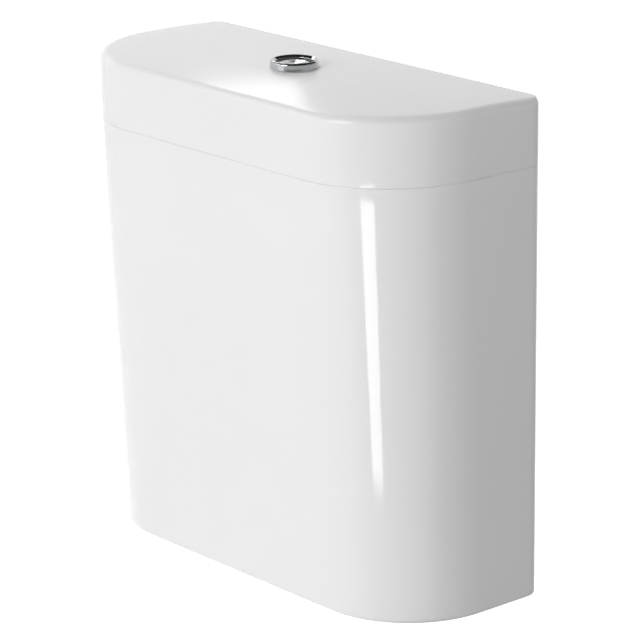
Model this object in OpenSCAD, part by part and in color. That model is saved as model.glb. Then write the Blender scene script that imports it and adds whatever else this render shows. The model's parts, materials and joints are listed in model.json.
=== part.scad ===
// Close-coupled toilet cistern: ceramic tank and lid, dual push button, flush valve, fill valve.
// Units are millimetres. The origin lies on the outlet axis in the plane of the tank's foot.
// X runs to the right seen from the front, Y to the wall and Z up.

/* [Tank] */
// Overall width, over the lid
cistern_w = 395; // [370:1:430]
// Overall depth, front of the lid to the wall face
cistern_d = 165; // [155:1:180]
// Height of the tank's rim, where the lid sits
rim_z = 347.5; // [345:0.5:370]
// Distance from the outlet axis to the wall face
outlet_to_wall = 80; // [76:1:86]
// Thickness of the ceramic walls
wall = 9; // [8:0.5:10]
// Thickness of the tank floor
floor_t = 12; // [11:0.5:14]
// Height of the hollow under the tank floor
recess_h = 20; // [17:0.5:22]
// Width of the foot that the hollow leaves all round
foot_w = 10; // [9:0.5:11]
// Radius of the front corners at the rim
corner_r = 90; // [70:1:92]
// Radius of the front corners at the foot
foot_corner_r = 82.5; // [65:0.5:90]
// Radius of the back corners
back_corner_r = 12; // [11:0.5:16]
// How far the front sets back from the rim to the foot
front_lean = 17.7; // [8:0.1:22]
// How far each side sets in from the rim to the foot
side_lean = 0.5; // [0:0.1:4]
// Rounding of the foot edge
foot_edge_r = 3.5; // [2:0.5:5]
// Rounding inside, between walls and floor
inner_edge_r = 12; // [6:1:16]

/* [Lid] */
// Height of the lid's edge above the tank's rim
lid_h = 52; // [48:1:60]
// Rise of the lid's top from its edge to the middle
lid_crown = 4; // [2:0.5:5]
// Rounding of the front and side top edges
lid_edge_r = 5; // [3:0.5:7]
// Rounding of the back top edge
lid_back_edge_r = 1; // [0.5:0.1:3]
// Thickness of the lid in the middle
lid_top_t = 12; // [10:0.5:14]
// Softening of the two edges that make the seam
seam_r = 0.9; // [0.4:0.1:1.2]
// Set-back of the lid's lower edge and of the tank under it
lid_tuck = 0.7; // [0.2:0.1:1]
// Depth of the locating lugs below the seam
lug_drop = 8; // [5:0.5:12]
// Width of a locating lug
lug_w = 34; // [24:1:40]
// Play between a lug and the tank's wall
lug_play = 1.5; // [1:0.1:2]

/* [Push button] */
// Diameter of the chrome bezel
bezel_d = 39; // [38:0.5:42]
// Height of the bezel above the lid
bezel_h = 6; // [4.5:0.1:7]
// Diameter of the split button
button_d = 28.6; // [27:0.2:29]
// Height of the button's face above the lid
button_stand = 3.4; // [2.6:0.1:4]
// Travel of each button
button_travel = 8; // [6:0.5:9]
// Place of the split, left of the middle
split_x = -4; // [-5:0.5:-3]
// Gap between the two buttons
split_gap = 0.6; // [0.4:0.1:1]
// Diameter of a push rod
rod_d = 4; // [3.6:0.1:4.2]
// Wire of a return spring
spring_wire = 0.8; // [0.6:0.1:0.9]
// Turns of a return spring
spring_turns = 7; // [5:1:8]
// Diameter of the clamping nut under the lid
button_nut_d = 52; // [48:1:60]
// Height of the clamping nut
button_nut_h = 9; // [7:0.5:11]

/* [Flush valve] */
// Diameter of the outlet hole in the tank floor
outlet_hole_d = 64; // [62:0.5:66]
// Outer diameter of the outlet spigot
spigot_d = 59.6; // [58:0.2:60]
// Bore of the outlet spigot
spigot_bore_d = 50; // [46:0.5:52]
// Length of the spigot below the tank floor
spigot_drop = 28; // [24:1:34]
// Diameter of the valve base flange
flange_d = 86; // [82:1:92]
// Thickness of the flange seal
base_seal_t = 4; // [3:0.5:5]
// Outer diameter of the valve cage
cage_d = 72; // [70:1:76]
// Height of the valve cage
cage_h = 200; // [180:5:206]
// Outer diameter of the lift tube
tube_d = 22; // [20:0.5:23]
// Wall of the lift tube
tube_t = 1.8; // [1.5:0.1:2.2]
// Outer arm of each rocker, pin to pusher
rocker_out = 12; // [11:0.5:14]
// Inner arm of the full rocker, pin to lift collar
full_arm = 18; // [15:0.5:20]
// Inner arm of the half rocker, pin to half sleeve
half_arm = 12; // [10:0.5:14]
// Diameter of a rocker pin
rocker_pin_d = 4; // [3:0.5:5]
// Diameter of the flush float
flush_float_d = 54; // [46:1:58]
// Height of the flush float
flush_float_h = 46; // [36:1:56]

/* [Fill valve] */
// Distance of the fill valve from the left side of the lid
inlet_side = 52.5; // [48:0.5:58]
// Distance of the fill valve behind the outlet
inlet_y = 20; // [12:1:24]
// Diameter of the inlet hole in the tank floor
inlet_hole_d = 24; // [22.5:0.5:26]
// Outer diameter of the inlet tail
tail_d = 20.9; // [20:0.1:21]
// Length of the inlet tail below the tank floor
tail_drop = 44; // [38:1:46]
// Depth of the tail's free thread below its surface
tail_step = 0.3; // [0.2:0.05:0.5]
// Diameter of the riser
riser_d = 22; // [20:0.5:24]
// Height of the riser's head above the foot
riser_top_z = 250; // [242:1:258]
// Diameter of the float
float_d = 72; // [66:1:76]
// Height of the float
float_h = 60; // [50:1:64]
// Travel of the float
float_travel = 10; // [8:0.5:12]
// Outer arm of the float lever, pin to rod
lever_arm = 24; // [22:0.5:25]
// Diameter of the float rod
float_rod_d = 3.4; // [3:0.1:4]

/* [Coupling] */
// Spacing of the two coupling bolts
bolt_spacing = 160; // [150:1:170]
// Shank diameter of a coupling bolt
bolt_d = 8; // [7.8:0.1:8.4]
// Depth of the free thread below the shank's surface
thread_step = 0.3; // [0.2:0.05:0.5]
// Length of a bolt below the tank floor
bolt_drop = 44; // [38:1:46]
// How far the doughnut gasket stands below the foot
gasket_proud = 2; // [1:0.5:3]

/* [Hidden] */
$fn = 64;
eps = 1;
gap = 0.3;
slip = 0.05;
corner_n = 16;
back_n = 5;
edge_n = 5;
crown_n = 5;
straight_runs = [1, 1, 1];
lid_runs = [8, 3, 10];
half_w = cistern_w / 2;
floor_z = recess_h + floor_t;
recess_edge_r = 6;
back_y = outlet_to_wall;
front_y = back_y - cistern_d;
lid_edge_z = rim_z + lid_h;
crown_z = lid_edge_z + lid_crown;
ceiling_z = crown_z - lid_top_t;
tuck_h = 16;
tuck_share = 0.3;
lid_inner_r = 8;
flat_share = 0.92;
least_r = 2;
lug_t = 7;
lug_bite = 2;
lug_step = 3;
lug_up = 14;
lug_root = 20;
front_lug_x = half_w * 0.38;
back_lug_x = half_w * 0.62;

button_r = button_d / 2;
bore_r = button_r + gap;
shank_wall = 1.6;
shank_r = bore_r + shank_wall;
lid_hole_play = 0.8;
lid_hole_r = shank_r + lid_hole_play;
bezel_r = bezel_d / 2;
button_seat_r = bezel_r + 1.5;
collar_t = 1.4;
collar_inset = 1.3;
collar_r = bezel_r - collar_inset;
bezel_snap = 0.2;
bezel_round = 1.7;
bezel_draft = 0.5;
bezel_dip = 1.4;
button_top_z = crown_z + button_stand;
cap_t = 3.4;
cap_z = button_top_z - cap_t;
skirt_h = 12;
skirt_t = 1.6;
face_edge = 0.6;
dish_r = 60;
dish_depth = 1.2;
housing_floor_t = 3;
housing_drop = 20;
housing_z = ceiling_z - housing_drop;
housing_floor_z = housing_z + housing_floor_t;
rod_r = rod_d / 2;
stem_wall = 0.7;
stem_r = rod_r + slip + stem_wall;
stem_sink = 0.4;
stem_z = housing_floor_z + button_travel + eps;
full_x = 6.5;
half_x = -8.6;
spring_play = 0.4;
spring_seat = 0.1;
spring_r = stem_r + spring_play + spring_wire / 2;
nut_r = button_nut_d / 2;
nut_rim = 4;
nut_lug_half = 3;
nut_lug_drop = 2;
rod_top_z = cap_z - eps;

seal_z = floor_z;
flange_z = seal_z + base_seal_t;
flange_t = 4;
flange_top = flange_z + flange_t;
spigot_r = spigot_d / 2;
spigot_z = recess_h - spigot_drop;
spigot_bore_r = spigot_bore_d / 2;
seat_h = 2;
seat_z = flange_top + seat_h;
seat_t = 2.6;
seat_slope = 2;
spigot_edge = 1;
base_seal_inset = 2;
cage_r = cage_d / 2;
cage_t = 3;
base_ring_t = 3;
base_ring_h = 12;
head_z = flange_top + cage_h;
plate_t = 5;
plate_top = head_z + plate_t;
tube_r = tube_d / 2;
tube_in_r = tube_r - tube_t;
seal_ring_t = 4;
seal_lap = 4;
seal_r = spigot_bore_r + seal_lap;
lip_w = 3;
lip_r = tube_r + lip_w;
lip_play = 0.4;
flange_inset = 1;
tube_cone_h = 6;
lip_t = 1.7;
seal_step = 2.2;
tube_flange_t = 2.5;
tube_float_share = 0.45;
float_on_tube_z = flange_top + cage_h * tube_float_share;
float_edge = 3;
slide_play = 0.4;
sleeve_t = 2;
sleeve_in_r = tube_r + slide_play;
sleeve_r = sleeve_in_r + sleeve_t;
nose_r = 2.5;
nose_clear = 1.1;
nose_x = sleeve_r + nose_r + nose_clear;
nose_run = 5.5;
swing = asin(button_travel / 2 / rocker_out);
full_lift = button_travel * full_arm / rocker_out;
half_lift = button_travel * half_arm / rocker_out;
full_pin_x = nose_x + full_arm;
half_pin_x = nose_x + half_arm;
tab_t = 3;
tab_half = 8;
tab_clear = 2.5;
tab_z = plate_top + half_lift + nose_r + tab_clear;
collar_clear = 2.8;
collar_z = tab_z + tab_t + half_lift + collar_clear;
lift_collar_t = 3.2;
collar_lap = 4;
lift_collar_r = nose_x + collar_lap;
full_pin_z = collar_z - gap - nose_r + full_lift / 2;
half_pin_z = tab_z - gap - nose_r + half_lift / 2;
mouth_h = 4;
mouth_z = collar_z + lift_collar_t + mouth_h;
arm_t = 6;
arm_clear = 1.5;
arm_z = mouth_z + full_lift + half_lift + button_travel + arm_clear;
arm_half_y = 5;
pad_lap = 4;
gusset = 7;
gusset_half = 1.5;
rod_end_z = arm_z + arm_t + gap;
full_foot_z = full_pin_z + button_travel / 2 + nose_r + gap;
half_foot_z = half_pin_z + button_travel / 2 + nose_r + gap;
leg_w = 8;
rocker_half_y = 5.5;
rocker_hub_r = 5;
rocker_web = 1;
tower_play = 0.9;
tower_in_y = rocker_half_y + tower_play;
tower_t = 3;
tower_drop = 2;
tower_top = arm_z - tower_drop;
tower_lap = 8;
plate_rim = 1;
rocker_pin_r = rocker_pin_d / 2;

fill_pos = [inlet_side - half_w, inlet_y, 0];
tail_r = tail_d / 2;
tail_z = recess_h - tail_drop;
tail_wall = 3;
tail_bore_r = tail_r - tail_wall;
tail_edge = 0.8;
riser_r = riser_d / 2;
washer_t = 4;
fill_flange_z = floor_z + washer_t;
fill_flange_t = 4;
fill_flange_r = 17;
head_r = 17;
head_h = 22;
head_top = riser_top_z + head_h;
diaphragm_t = 1.5;
fill_cap_z = head_top + diaphragm_t;
fill_cap_r = 18.5;
cap_rib_r = 1.2;
cap_wall_in = 1;
fill_cap_h = 11;
fill_cap_top = fill_cap_z + fill_cap_h;
float_r = float_d / 2;
riser_cone = 6;
stop_rim = 3;
port_half = 2;
port_depth = 3;
port_low = 8;
port_high = 30;
float_clear = 14;
stop_z = riser_top_z - float_travel - float_h - float_clear;
stop_t = 3;
float_z = stop_z + stop_t + gap;
float_top = float_z + float_h;
lever_pin_r = 1.6;
lever_pin_x = 6;
lever_rise = 10;
lever_pin_z = fill_cap_top + lever_rise;
lever_hub_r = 4;
lever_tip = 5;
lever_tail = 4;
lever_slot = 4;
fork_play = 0.8;
ear_half = 4.5;
lever_half_y = 4.4;
lever_half_t = 3;
rod_x = lever_pin_x + lever_arm;
lever_swing = asin(float_travel / 2 / lever_arm);
ear_play = 0.5;
ear_in_y = lever_half_y + ear_play;
ear_t = 3;
float_rod_r = float_rod_d / 2;
knob_r = 3.2;
lever_low = lever_pin_z - float_travel / 2;
knob_play = 0.9;
knob_z = lever_low - lever_half_t - knob_r - knob_play;
clip_t = 3;
clip_half = [6, 4];
rod_boss_r = 5;
rod_boss_h = 5;
rod_sink = 12;
rod_over = 12;
nozzle_r = 2.4;
nozzle_play = 2.4;
nozzle_top = lever_pin_z - lever_half_t - nozzle_play;
strainer_wall = 1.6;
strainer_slot = 1.2;
strainer_end = 2;
strainer_low = 6;
inlet_hex_r = 18;
inlet_rim_r = 17;
inlet_rim_h = 2;

nut_h = 10;
nut_z = recess_h - nut_h;
free_thread = 1;
backnut_r = 37;
backnut_lug = 4;
backnut_lug_half = 4;
backnut_bite = 3;
gasket_play = 1.5;
gasket_t = 10;
gasket_edge = 2;
gasket_in_r = backnut_r + backnut_lug + gasket_play;
gasket_r = gasket_in_r + gasket_t;
bolt_r = bolt_d / 2;
bolt_x = bolt_spacing / 2;
bolt_hole_play = 2;
bolt_hole_r = bolt_r + bolt_hole_play;
rubber_r = 13;
head_washer_r = 11;
under_washer_r = 12;
rubber_t = 4;
steel_t = 1.6;
bolt_head_h = 5.5;
bolt_nut_h = 6.5;
hex_r = 7.5;
bolt_head_z = floor_z + rubber_t + steel_t;
under_nut_z = recess_h - steel_t - bolt_nut_h;
thread_z = under_nut_z - free_thread;

// Colours
ceramic_c = [0.95, 0.95, 0.94];
chrome_c = [0.78, 0.79, 0.81];
white_c = [0.9, 0.91, 0.92];
grey_c = [0.62, 0.64, 0.67];
blue_c = [0.25, 0.45, 0.72];
green_c = [0.3, 0.6, 0.42];
rubber_c = [0.13, 0.13, 0.14];
steel_c = [0.7, 0.7, 0.72];

// Points of an arc
function arc(cx, cy, r, a0, a1, n) =
  [for (i = [0:n]) let (t = a0 + (a1 - a0) * i / n) [cx + r * cos(t), cy + r * sin(t)]];

// Points that divide a straight run, without its ends
function run(a, b, n) = [for (i = [1:1:n - 1]) a + (b - a) * i / n];

// D-shaped outline with large front corners and small back corners; runs divide front, sides and back
function plan(w, yf, yb, rf, rb, runs) = concat(
  arc(w - rf, yf + rf, rf, -90, 0, corner_n),
  run([w, yf + rf], [w, yb - rb], runs[1]),
  arc(w - rb, yb - rb, rb, 0, 90, back_n),
  run([w - rb, yb], [rb - w, yb], runs[2]),
  arc(rb - w, yb - rb, rb, 90, 180, back_n),
  run([-w, yb - rb], [-w, yf + rf], runs[1]),
  arc(rf - w, yf + rf, rf, 180, 270, corner_n),
  run([rf - w, yf], [w - rf, yf], runs[0]));

// An outline lifted to a height
function lift(outline, z) = [for (p = outline) [p[0], p[1], z]];

// Set-back of the body below the rim, as a share of its height
function lean(z) = max(0, 1 - z / rim_z);

// Tank outline at a height, set in all round
function tank_ring(z, inset) =
  lift(plan(half_w - lid_tuck - side_lean * lean(z) - inset,
    front_y + lid_tuck + front_lean * lean(z) + inset,
    back_y - inset,
    corner_r + (foot_corner_r - corner_r) * lean(z) - inset,
    max(back_corner_r - inset, least_r), straight_runs), z);

// Lid outline at a height, set in at the front and sides, and at the back
function lid_ring(z, inset, back_inset) =
  lift(plan(half_w - inset, front_y + inset, back_y - back_inset, corner_r - inset,
    max(back_corner_r - inset, least_r), lid_runs), z);

// Height of the domed top over a place in plan, flat round the button
function dome(x, y) = let (
    y0 = front_y + lid_edge_r,
    y1 = back_y - lid_back_edge_r,
    u = x / (half_w - lid_edge_r),
    v = (2 * y - y0 - y1) / (y1 - y0))
  lid_edge_z + lid_crown * min(1, (1 - u * u) * (1 - v * v) / flat_share);

// A ring drawn in by a share of the way to the round seat of the button, on the domed top
function draw_in(ring, share) = [for (p = ring) let (
    a = atan2(p[1], p[0]),
    x = p[0] * (1 - share) + button_seat_r * cos(a) * share,
    y = p[1] * (1 - share) + button_seat_r * sin(a) * share)
  [x, y, dome(x, y)]];

// Solid skinned over a stack of rings
module loft(rings) {
  n = len(rings[0]);
  m = len(rings);
  points = [for (ring = rings) each ring];
  sides = [for (k = [0:m - 2]) for (i = [0:n - 1]) let (j = (i + 1) % n)
    each [[k * n + i, (k + 1) * n + i, (k + 1) * n + j], [k * n + i, (k + 1) * n + j, k * n + j]]];
  bottom = [[for (i = [0:n - 1]) i]];
  top = [[for (i = [n - 1:-1:0]) (m - 1) * n + i]];
  polyhedron(points, concat(sides, bottom, top), convexity = 6);
}

// Ring between two radii
module ring(r_in, r_out, z0, z1) {
  rotate_extrude()
    translate([r_in, z0])
      square([r_out - r_in, z1 - z0]);
}

// Upright rod between two heights
module post(r, z0, z1) {
  translate([0, 0, z0])
    cylinder(r = r, h = z1 - z0);
}

// Box between two corners
module block(a, b) {
  translate(a)
    cube(b - a);
}

// Rod along Y at a place in the XZ plane
module cross_rod(x, z, r, half_len) {
  translate([x, half_len, z])
    rotate([90, 0, 0])
      cylinder(r = r, h = 2 * half_len);
}

// Two copies at the coupling bolts
module at_bolts() {
  for (s = [-1, 1])
    translate([s * bolt_x, 0, 0])
      children();
}

// Ceramic tank on a foot that runs round a hollow for the fittings
module tank() {
  foot = [for (i = [0:edge_n]) let (t = 90 * i / edge_n)
    tank_ring(foot_edge_r * (1 - sin(t)), foot_edge_r * (1 - cos(t)))];
  outer = concat([for (i = [edge_n:-1:0]) foot[i]],
    [tank_ring(rim_z - seam_r, 0), tank_ring(rim_z, seam_r)]);
  bowl = [for (i = [0:edge_n]) let (t = 90 * i / edge_n)
    tank_ring(floor_z + inner_edge_r * (1 - sin(t)), wall + inner_edge_r * (1 - cos(t)))];
  inner = concat([for (i = [edge_n:-1:0]) bowl[i]], [tank_ring(rim_z + eps, wall)]);
  recess = [for (i = [0:edge_n]) let (t = 90 * i / edge_n)
    tank_ring(recess_h - recess_edge_r * (1 - sin(t)), foot_w + recess_edge_r * (1 - cos(t)))];
  color(ceramic_c)
    difference() {
      loft(outer);
      loft(inner);
      loft(concat([tank_ring(-eps, foot_w)], recess));
      post(gasket_r + gasket_play, -eps, recess_h);
      post(outlet_hole_d / 2, recess_h - eps, floor_z + eps);
      at_bolts()
        post(bolt_hole_r, recess_h - eps, floor_z + eps);
      translate(fill_pos)
        post(inlet_hole_d / 2, recess_h - eps, floor_z + eps);
    }
}

// Locating lug under the lid, rooted in a wall whose outer face is at y = 0
module lug() {
  y0 = wall - lug_bite;
  y1 = wall + lid_tuck + lug_play;
  rotate([90, 0, 90])
    translate([0, 0, -lug_w / 2])
      linear_extrude(lug_w)
        polygon([[y1, rim_z - lug_drop], [y1 + lug_t, rim_z - lug_drop], [y1 + lug_t, rim_z + lug_up],
          [y0, rim_z + lug_root], [y0, rim_z + lug_step], [y1, rim_z + lug_step]]);
}

// Ceramic lid
module lid() {
  skirt = [lid_ring(rim_z, lid_tuck + seam_r, seam_r),
    lid_ring(rim_z + seam_r, lid_tuck, 0),
    lid_ring(rim_z + tuck_h / 2, lid_tuck * tuck_share, 0),
    lid_ring(rim_z + tuck_h, 0, 0)];
  edge = [for (i = [0:edge_n]) let (t = 90 * i / edge_n)
    lid_ring(lid_edge_z - lid_edge_r * (1 - sin(t)), lid_edge_r * (1 - cos(t)),
      lid_back_edge_r * (1 - cos(t)))];
  brow = edge[edge_n];
  crown = [for (i = [1:crown_n]) draw_in(brow, i / crown_n)];
  roof = [for (i = [0:edge_n]) let (t = 90 * i / edge_n, d = lid_inner_r * (1 - cos(t)))
    lid_ring(ceiling_z - lid_inner_r * (1 - sin(t)), wall + d, wall + d)];
  mouth = [lid_ring(rim_z - eps, wall + lid_tuck, wall), lid_ring(rim_z + tuck_h, wall, wall)];
  inner = concat(mouth, roof);
  color(ceramic_c)
    difference() {
      union() {
        difference() {
          loft(concat(skirt, edge, crown));
          loft(inner);
        }
        for (s = [-1, 1]) {
          translate([s * front_lug_x, front_y, 0])
            lug();
          translate([s * back_lug_x, back_y, 0])
            mirror([0, 1, 0])
              lug();
        }
      }
      post(lid_hole_r, ceiling_z - eps, crown_z + eps);
    }
}

// Chrome ring round the button
module button_bezel() {
  in_r = bore_r + gap;
  foot_r = collar_r + bezel_snap;
  top_z = crown_z + bezel_h;
  color(chrome_c)
    rotate_extrude()
      polygon(concat(
        [[in_r, crown_z + collar_t], [foot_r, crown_z + collar_t], [foot_r, crown_z], [bezel_r, crown_z]],
        arc(bezel_r - bezel_round - bezel_draft, top_z - bezel_round, bezel_round, 0, 100, 8),
        [[in_r, top_z - bezel_dip]]));
}

// Plastic sleeve that carries the buttons
module button_housing() {
  color(grey_c)
    difference() {
      union() {
        post(shank_r, housing_z, crown_z + collar_t);
        post(collar_r, crown_z, crown_z + collar_t);
      }
      post(bore_r, housing_floor_z, crown_z + collar_t + eps);
      for (x = [full_x, half_x])
        translate([x, 0, 0])
          post(rod_r + gap, housing_z - eps, housing_floor_z + eps);
    }
}

// Clamping nut under the lid
module button_nut() {
  color(grey_c)
    difference() {
      union() {
        post(nut_r - nut_rim, ceiling_z - button_nut_h, ceiling_z);
        for (a = [0:60:300])
          rotate([0, 0, a])
            block([nut_r - 2 * nut_rim, -nut_lug_half, ceiling_z - button_nut_h],
              [nut_r, nut_lug_half, ceiling_z - nut_lug_drop]);
      }
      post(shank_r + slip, ceiling_z - button_nut_h - eps, ceiling_z + eps);
    }
}

// One button of the pair: a cap with a skirt and a hollow stem
module button(x, x0, x1) {
  color(chrome_c)
    difference() {
      union() {
        intersection() {
          difference() {
            rotate_extrude()
              polygon([[0, cap_z - skirt_h], [button_r, cap_z - skirt_h],
                [button_r, button_top_z - face_edge], [button_r - face_edge, button_top_z],
                [0, button_top_z]]);
            post(button_r - skirt_t, cap_z - skirt_h - eps, cap_z);
            translate([0, 0, button_top_z + dish_r - dish_depth])
              sphere(r = dish_r, $fn = 96);
          }
          block([x0, -button_r - eps, cap_z - skirt_h - eps], [x1, button_r + eps, button_top_z + eps]);
        }
        translate([x, 0, 0])
          post(stem_r, stem_z, cap_z + stem_sink);
      }
      translate([x, 0, 0])
        post(rod_r + slip, stem_z - eps, rod_top_z);
    }
}

// Full-flush button, the larger part of the disc
module full_button() {
  button(full_x, split_x + split_gap / 2, button_r + eps);
}

// Half-flush button, the smaller part
module half_button() {
  button(half_x, -button_r - eps, split_x - split_gap / 2);
}

// Threaded push rod from a button to its pusher
module push_rod(x) {
  color(white_c)
    translate([x, 0, 0])
      post(rod_r, rod_end_z, rod_top_z);
}

// Full-flush push rod
module full_push_rod() {
  push_rod(full_x);
}

// Half-flush push rod
module half_push_rod() {
  push_rod(half_x);
}

// Centre line of a spring: straight ends of one wire diameter, and a coil between them
function coil_path(r, z0, z1, turns, wire) = concat([[r, 0, z0]],
  [for (i = [0:turns * 8]) [r * cos(45 * i), r * sin(45 * i),
    z0 + wire + (z1 - z0 - 2 * wire) * i / (turns * 8)]],
  [[r, 0, z1]]);

// Rings of a tube round a coiled centre line
function coil_rings(path, r) = [for (i = [0:len(path) - 1]) let (
    a = path[max(i - 1, 0)],
    b = path[min(i + 1, len(path) - 1)],
    t = (b - a) / norm(b - a),
    out = [path[i][0], path[i][1], 0],
    flat = out - (out * t) * t,
    u = flat / norm(flat),
    v = cross(t, u))
  [for (k = [0:5]) path[i] + r * (cos(60 * k) * u + sin(60 * k) * v)]];

spring_path = coil_path(spring_r, housing_floor_z + spring_seat, cap_z - spring_seat,
  spring_turns, spring_wire);
turn_steps = [for (i = [0:len(spring_path) - 9]) norm(spring_path[i + 8] - spring_path[i])];
echo(least_gap_between_spring_turns = min(turn_steps) - spring_wire);

// Return spring round a stem
module button_spring(x) {
  color(steel_c)
    translate([x, 0, 0])
      loft(coil_rings(spring_path, spring_wire / 2));
}

// Return spring of the full-flush button
module full_button_spring() {
  button_spring(full_x);
}

// Return spring of the half-flush button
module half_button_spring() {
  button_spring(half_x);
}

// Valve base: spigot, flange, seat and the ring that holds the cage
module valve_base() {
  color(white_c)
    rotate_extrude()
      polygon([[spigot_bore_r, spigot_z], [spigot_r - spigot_edge, spigot_z],
        [spigot_r, spigot_z + spigot_edge],
        [spigot_r, flange_z], [flange_d / 2, flange_z], [flange_d / 2, flange_top],
        [cage_r + gap + base_ring_t, flange_top], [cage_r + gap + base_ring_t, flange_top + base_ring_h],
        [cage_r + gap, flange_top + base_ring_h], [cage_r + gap, flange_top],
        [spigot_bore_r + seat_t + seat_slope, flange_top], [spigot_bore_r + seat_t, seat_z],
        [spigot_bore_r, seat_z]]);
}

// Rubber seal between the flange and the tank floor
module base_seal() {
  color(rubber_c)
    ring(spigot_r + gap, flange_d / 2 - base_seal_inset, seal_z, flange_z);
}

// Backnut under the tank, with grip lugs
module valve_backnut() {
  color(white_c)
    difference() {
      union() {
        post(backnut_r, nut_z, recess_h);
        for (a = [0:45:315])
          rotate([0, 0, a])
            block([backnut_r - backnut_bite, -backnut_lug_half, nut_z],
              [backnut_r + backnut_lug, backnut_lug_half, recess_h - eps]);
      }
      post(spigot_r + slip, nut_z - eps, recess_h + eps);
    }
}

// Doughnut gasket to the pan
module coupling_gasket() {
  color(rubber_c)
    rotate_extrude()
      polygon([[gasket_in_r + gasket_edge, -gasket_proud], [gasket_r - gasket_edge, -gasket_proud],
        [gasket_r, gasket_edge - gasket_proud], [gasket_r, recess_h], [gasket_in_r, recess_h],
        [gasket_in_r, gasket_edge - gasket_proud]]);
}

// Valve cage with three rows of windows
module valve_cage() {
  in_r = cage_r - cage_t;
  rows = [[0.07, 0.36], [0.42, 0.68], [0.74, 0.95]];
  slot_w = cage_r * 1.05;
  color(white_c)
    difference() {
      post(cage_r, flange_top, head_z);
      post(in_r, flange_top - eps, head_z + eps);
      for (row = rows)
        for (a = [45, 135])
          rotate([0, 0, a])
            block([-cage_r - eps, -slot_w / 2, flange_top + row[0] * cage_h],
              [cage_r + eps, slot_w / 2, flange_top + row[1] * cage_h]);
    }
}

// One tower of the head: two cheeks that carry a rocker's pin and guide a pusher
module tower(pin_x, pin_z) {
  x_in = pin_x - rocker_hub_r;
  x_web = pin_x + rocker_out + leg_w / 2 + gap;
  x_out = x_web + tower_t;
  y_out = tower_in_y + tower_t;
  difference() {
    union() {
      block([x_in, tower_in_y, head_z], [x_out, y_out, tower_top]);
      block([x_in, -y_out, head_z], [x_out, -tower_in_y, tower_top]);
      block([x_web, -y_out, head_z], [x_out, y_out, tower_top]);
      block([cage_r - tower_lap, -y_out, head_z], [x_out, y_out, plate_top]);
    }
    cross_rod(pin_x, pin_z, rocker_pin_r + slip, y_out + eps);
  }
}

// Head on top of the cage
module valve_head() {
  color(grey_c)
    difference() {
      union() {
        post(cage_r + plate_rim, head_z, plate_top);
        tower(full_pin_x, full_pin_z);
        mirror([1, 0, 0])
          tower(half_pin_x, half_pin_z);
      }
      post(tube_r + slide_play, head_z - eps, plate_top + eps);
    }
}

// Lift tube, which is also the overflow
module lift_tube() {
  z0 = seat_z + lip_play;
  z1 = seat_z + seal_ring_t;
  r1 = seal_r - flange_inset;
  color(white_c)
    rotate_extrude()
      polygon([[tube_in_r, z0], [lip_r, z0], [lip_r, z0 + lip_t], [tube_r, z0 + lip_t], [tube_r, z1],
        [r1, z1], [r1, z1 + tube_flange_t], [tube_r, z1 + tube_flange_t + tube_cone_h],
        [tube_r, mouth_z], [tube_in_r, mouth_z]]);
}

// Collar screwed to the lift tube, which the full rocker lifts
module lift_collar() {
  color(blue_c)
    ring(tube_r + slip, lift_collar_r, collar_z, collar_z + lift_collar_t);
}

// Valve seal, stretched over the tube's lower lip
module valve_seal() {
  color(rubber_c)
    rotate_extrude()
      polygon([[tube_r + slip, seat_z + seal_step], [lip_r + gap, seat_z + seal_step], [lip_r + gap, seat_z],
        [seal_r, seat_z], [seal_r, seat_z + seal_ring_t], [tube_r + slip, seat_z + seal_ring_t]]);
}

// Float that holds the valve open through a full flush
module flush_float() {
  r = flush_float_d / 2;
  z0 = float_on_tube_z;
  z1 = z0 + flush_float_h;
  color(blue_c)
    rotate_extrude()
      polygon([[tube_r + slip, z0], [r - float_edge, z0], [r, z0 + float_edge], [r, z1 - float_edge],
        [r - float_edge, z1], [tube_r + slip, z1]]);
}

// Sleeve on the tube that the half rocker lifts
module half_sleeve() {
  z0 = plate_top + gap;
  z1 = collar_z - gap;
  color(green_c)
    difference() {
      union() {
        post(sleeve_r, z0, z1);
        block([-lift_collar_r, -tab_half, tab_z], [0, tab_half, tab_z + tab_t]);
      }
      post(sleeve_in_r, z0 - eps, z1 + eps);
    }
}

// Pusher: a pad under a push rod, an arm and a leg that presses a rocker
module pusher(leg_x, foot_z, pad_x) {
  x0 = leg_x - leg_w / 2;
  x1 = leg_x + leg_w / 2;
  color(white_c)
    union() {
      block([pad_x, -arm_half_y, arm_z], [x1, arm_half_y, arm_z + arm_t]);
      block([x0, -arm_half_y, foot_z], [x1, arm_half_y, arm_z + arm_t]);
      translate([0, gusset_half, 0])
        rotate([90, 0, 0])
          linear_extrude(2 * gusset_half)
            polygon([[leg_x, arm_z + eps], [x0 - gusset, arm_z + eps], [x0 - gusset, arm_z],
              [x0, arm_z - gusset], [leg_x, arm_z - gusset]]);
    }
}

// Full-flush pusher
module full_pusher() {
  pusher(full_pin_x + rocker_out, full_foot_z, full_x - pad_lap);
}

// Half-flush pusher
module half_pusher() {
  mirror([1, 0, 0])
    pusher(half_pin_x + rocker_out, half_foot_z, -half_x - pad_lap);
}

// Rocker on its pin: inner arm to the left, outer arm to the right, tilted to its rest
module rocker(arm_in) {
  web_r = rocker_hub_r - rocker_web;
  rotate([0, -swing, 0])
    difference() {
      union() {
        cross_rod(0, 0, rocker_hub_r, rocker_half_y);
        cross_rod(-arm_in, 0, nose_r, rocker_half_y);
        cross_rod(rocker_out, 0, nose_r, rocker_half_y);
        translate([0, rocker_half_y, 0])
          rotate([90, 0, 0])
            linear_extrude(2 * rocker_half_y)
              polygon([[-arm_in, -nose_r], [0, -web_r], [rocker_out, -nose_r], [rocker_out, 0],
                [rocker_out - nose_run, 0], [0, web_r], [nose_run - arm_in, 0], [-arm_in, 0]]);
      }
      cross_rod(0, 0, rocker_pin_r + slip, rocker_half_y + eps);
    }
}

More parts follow.
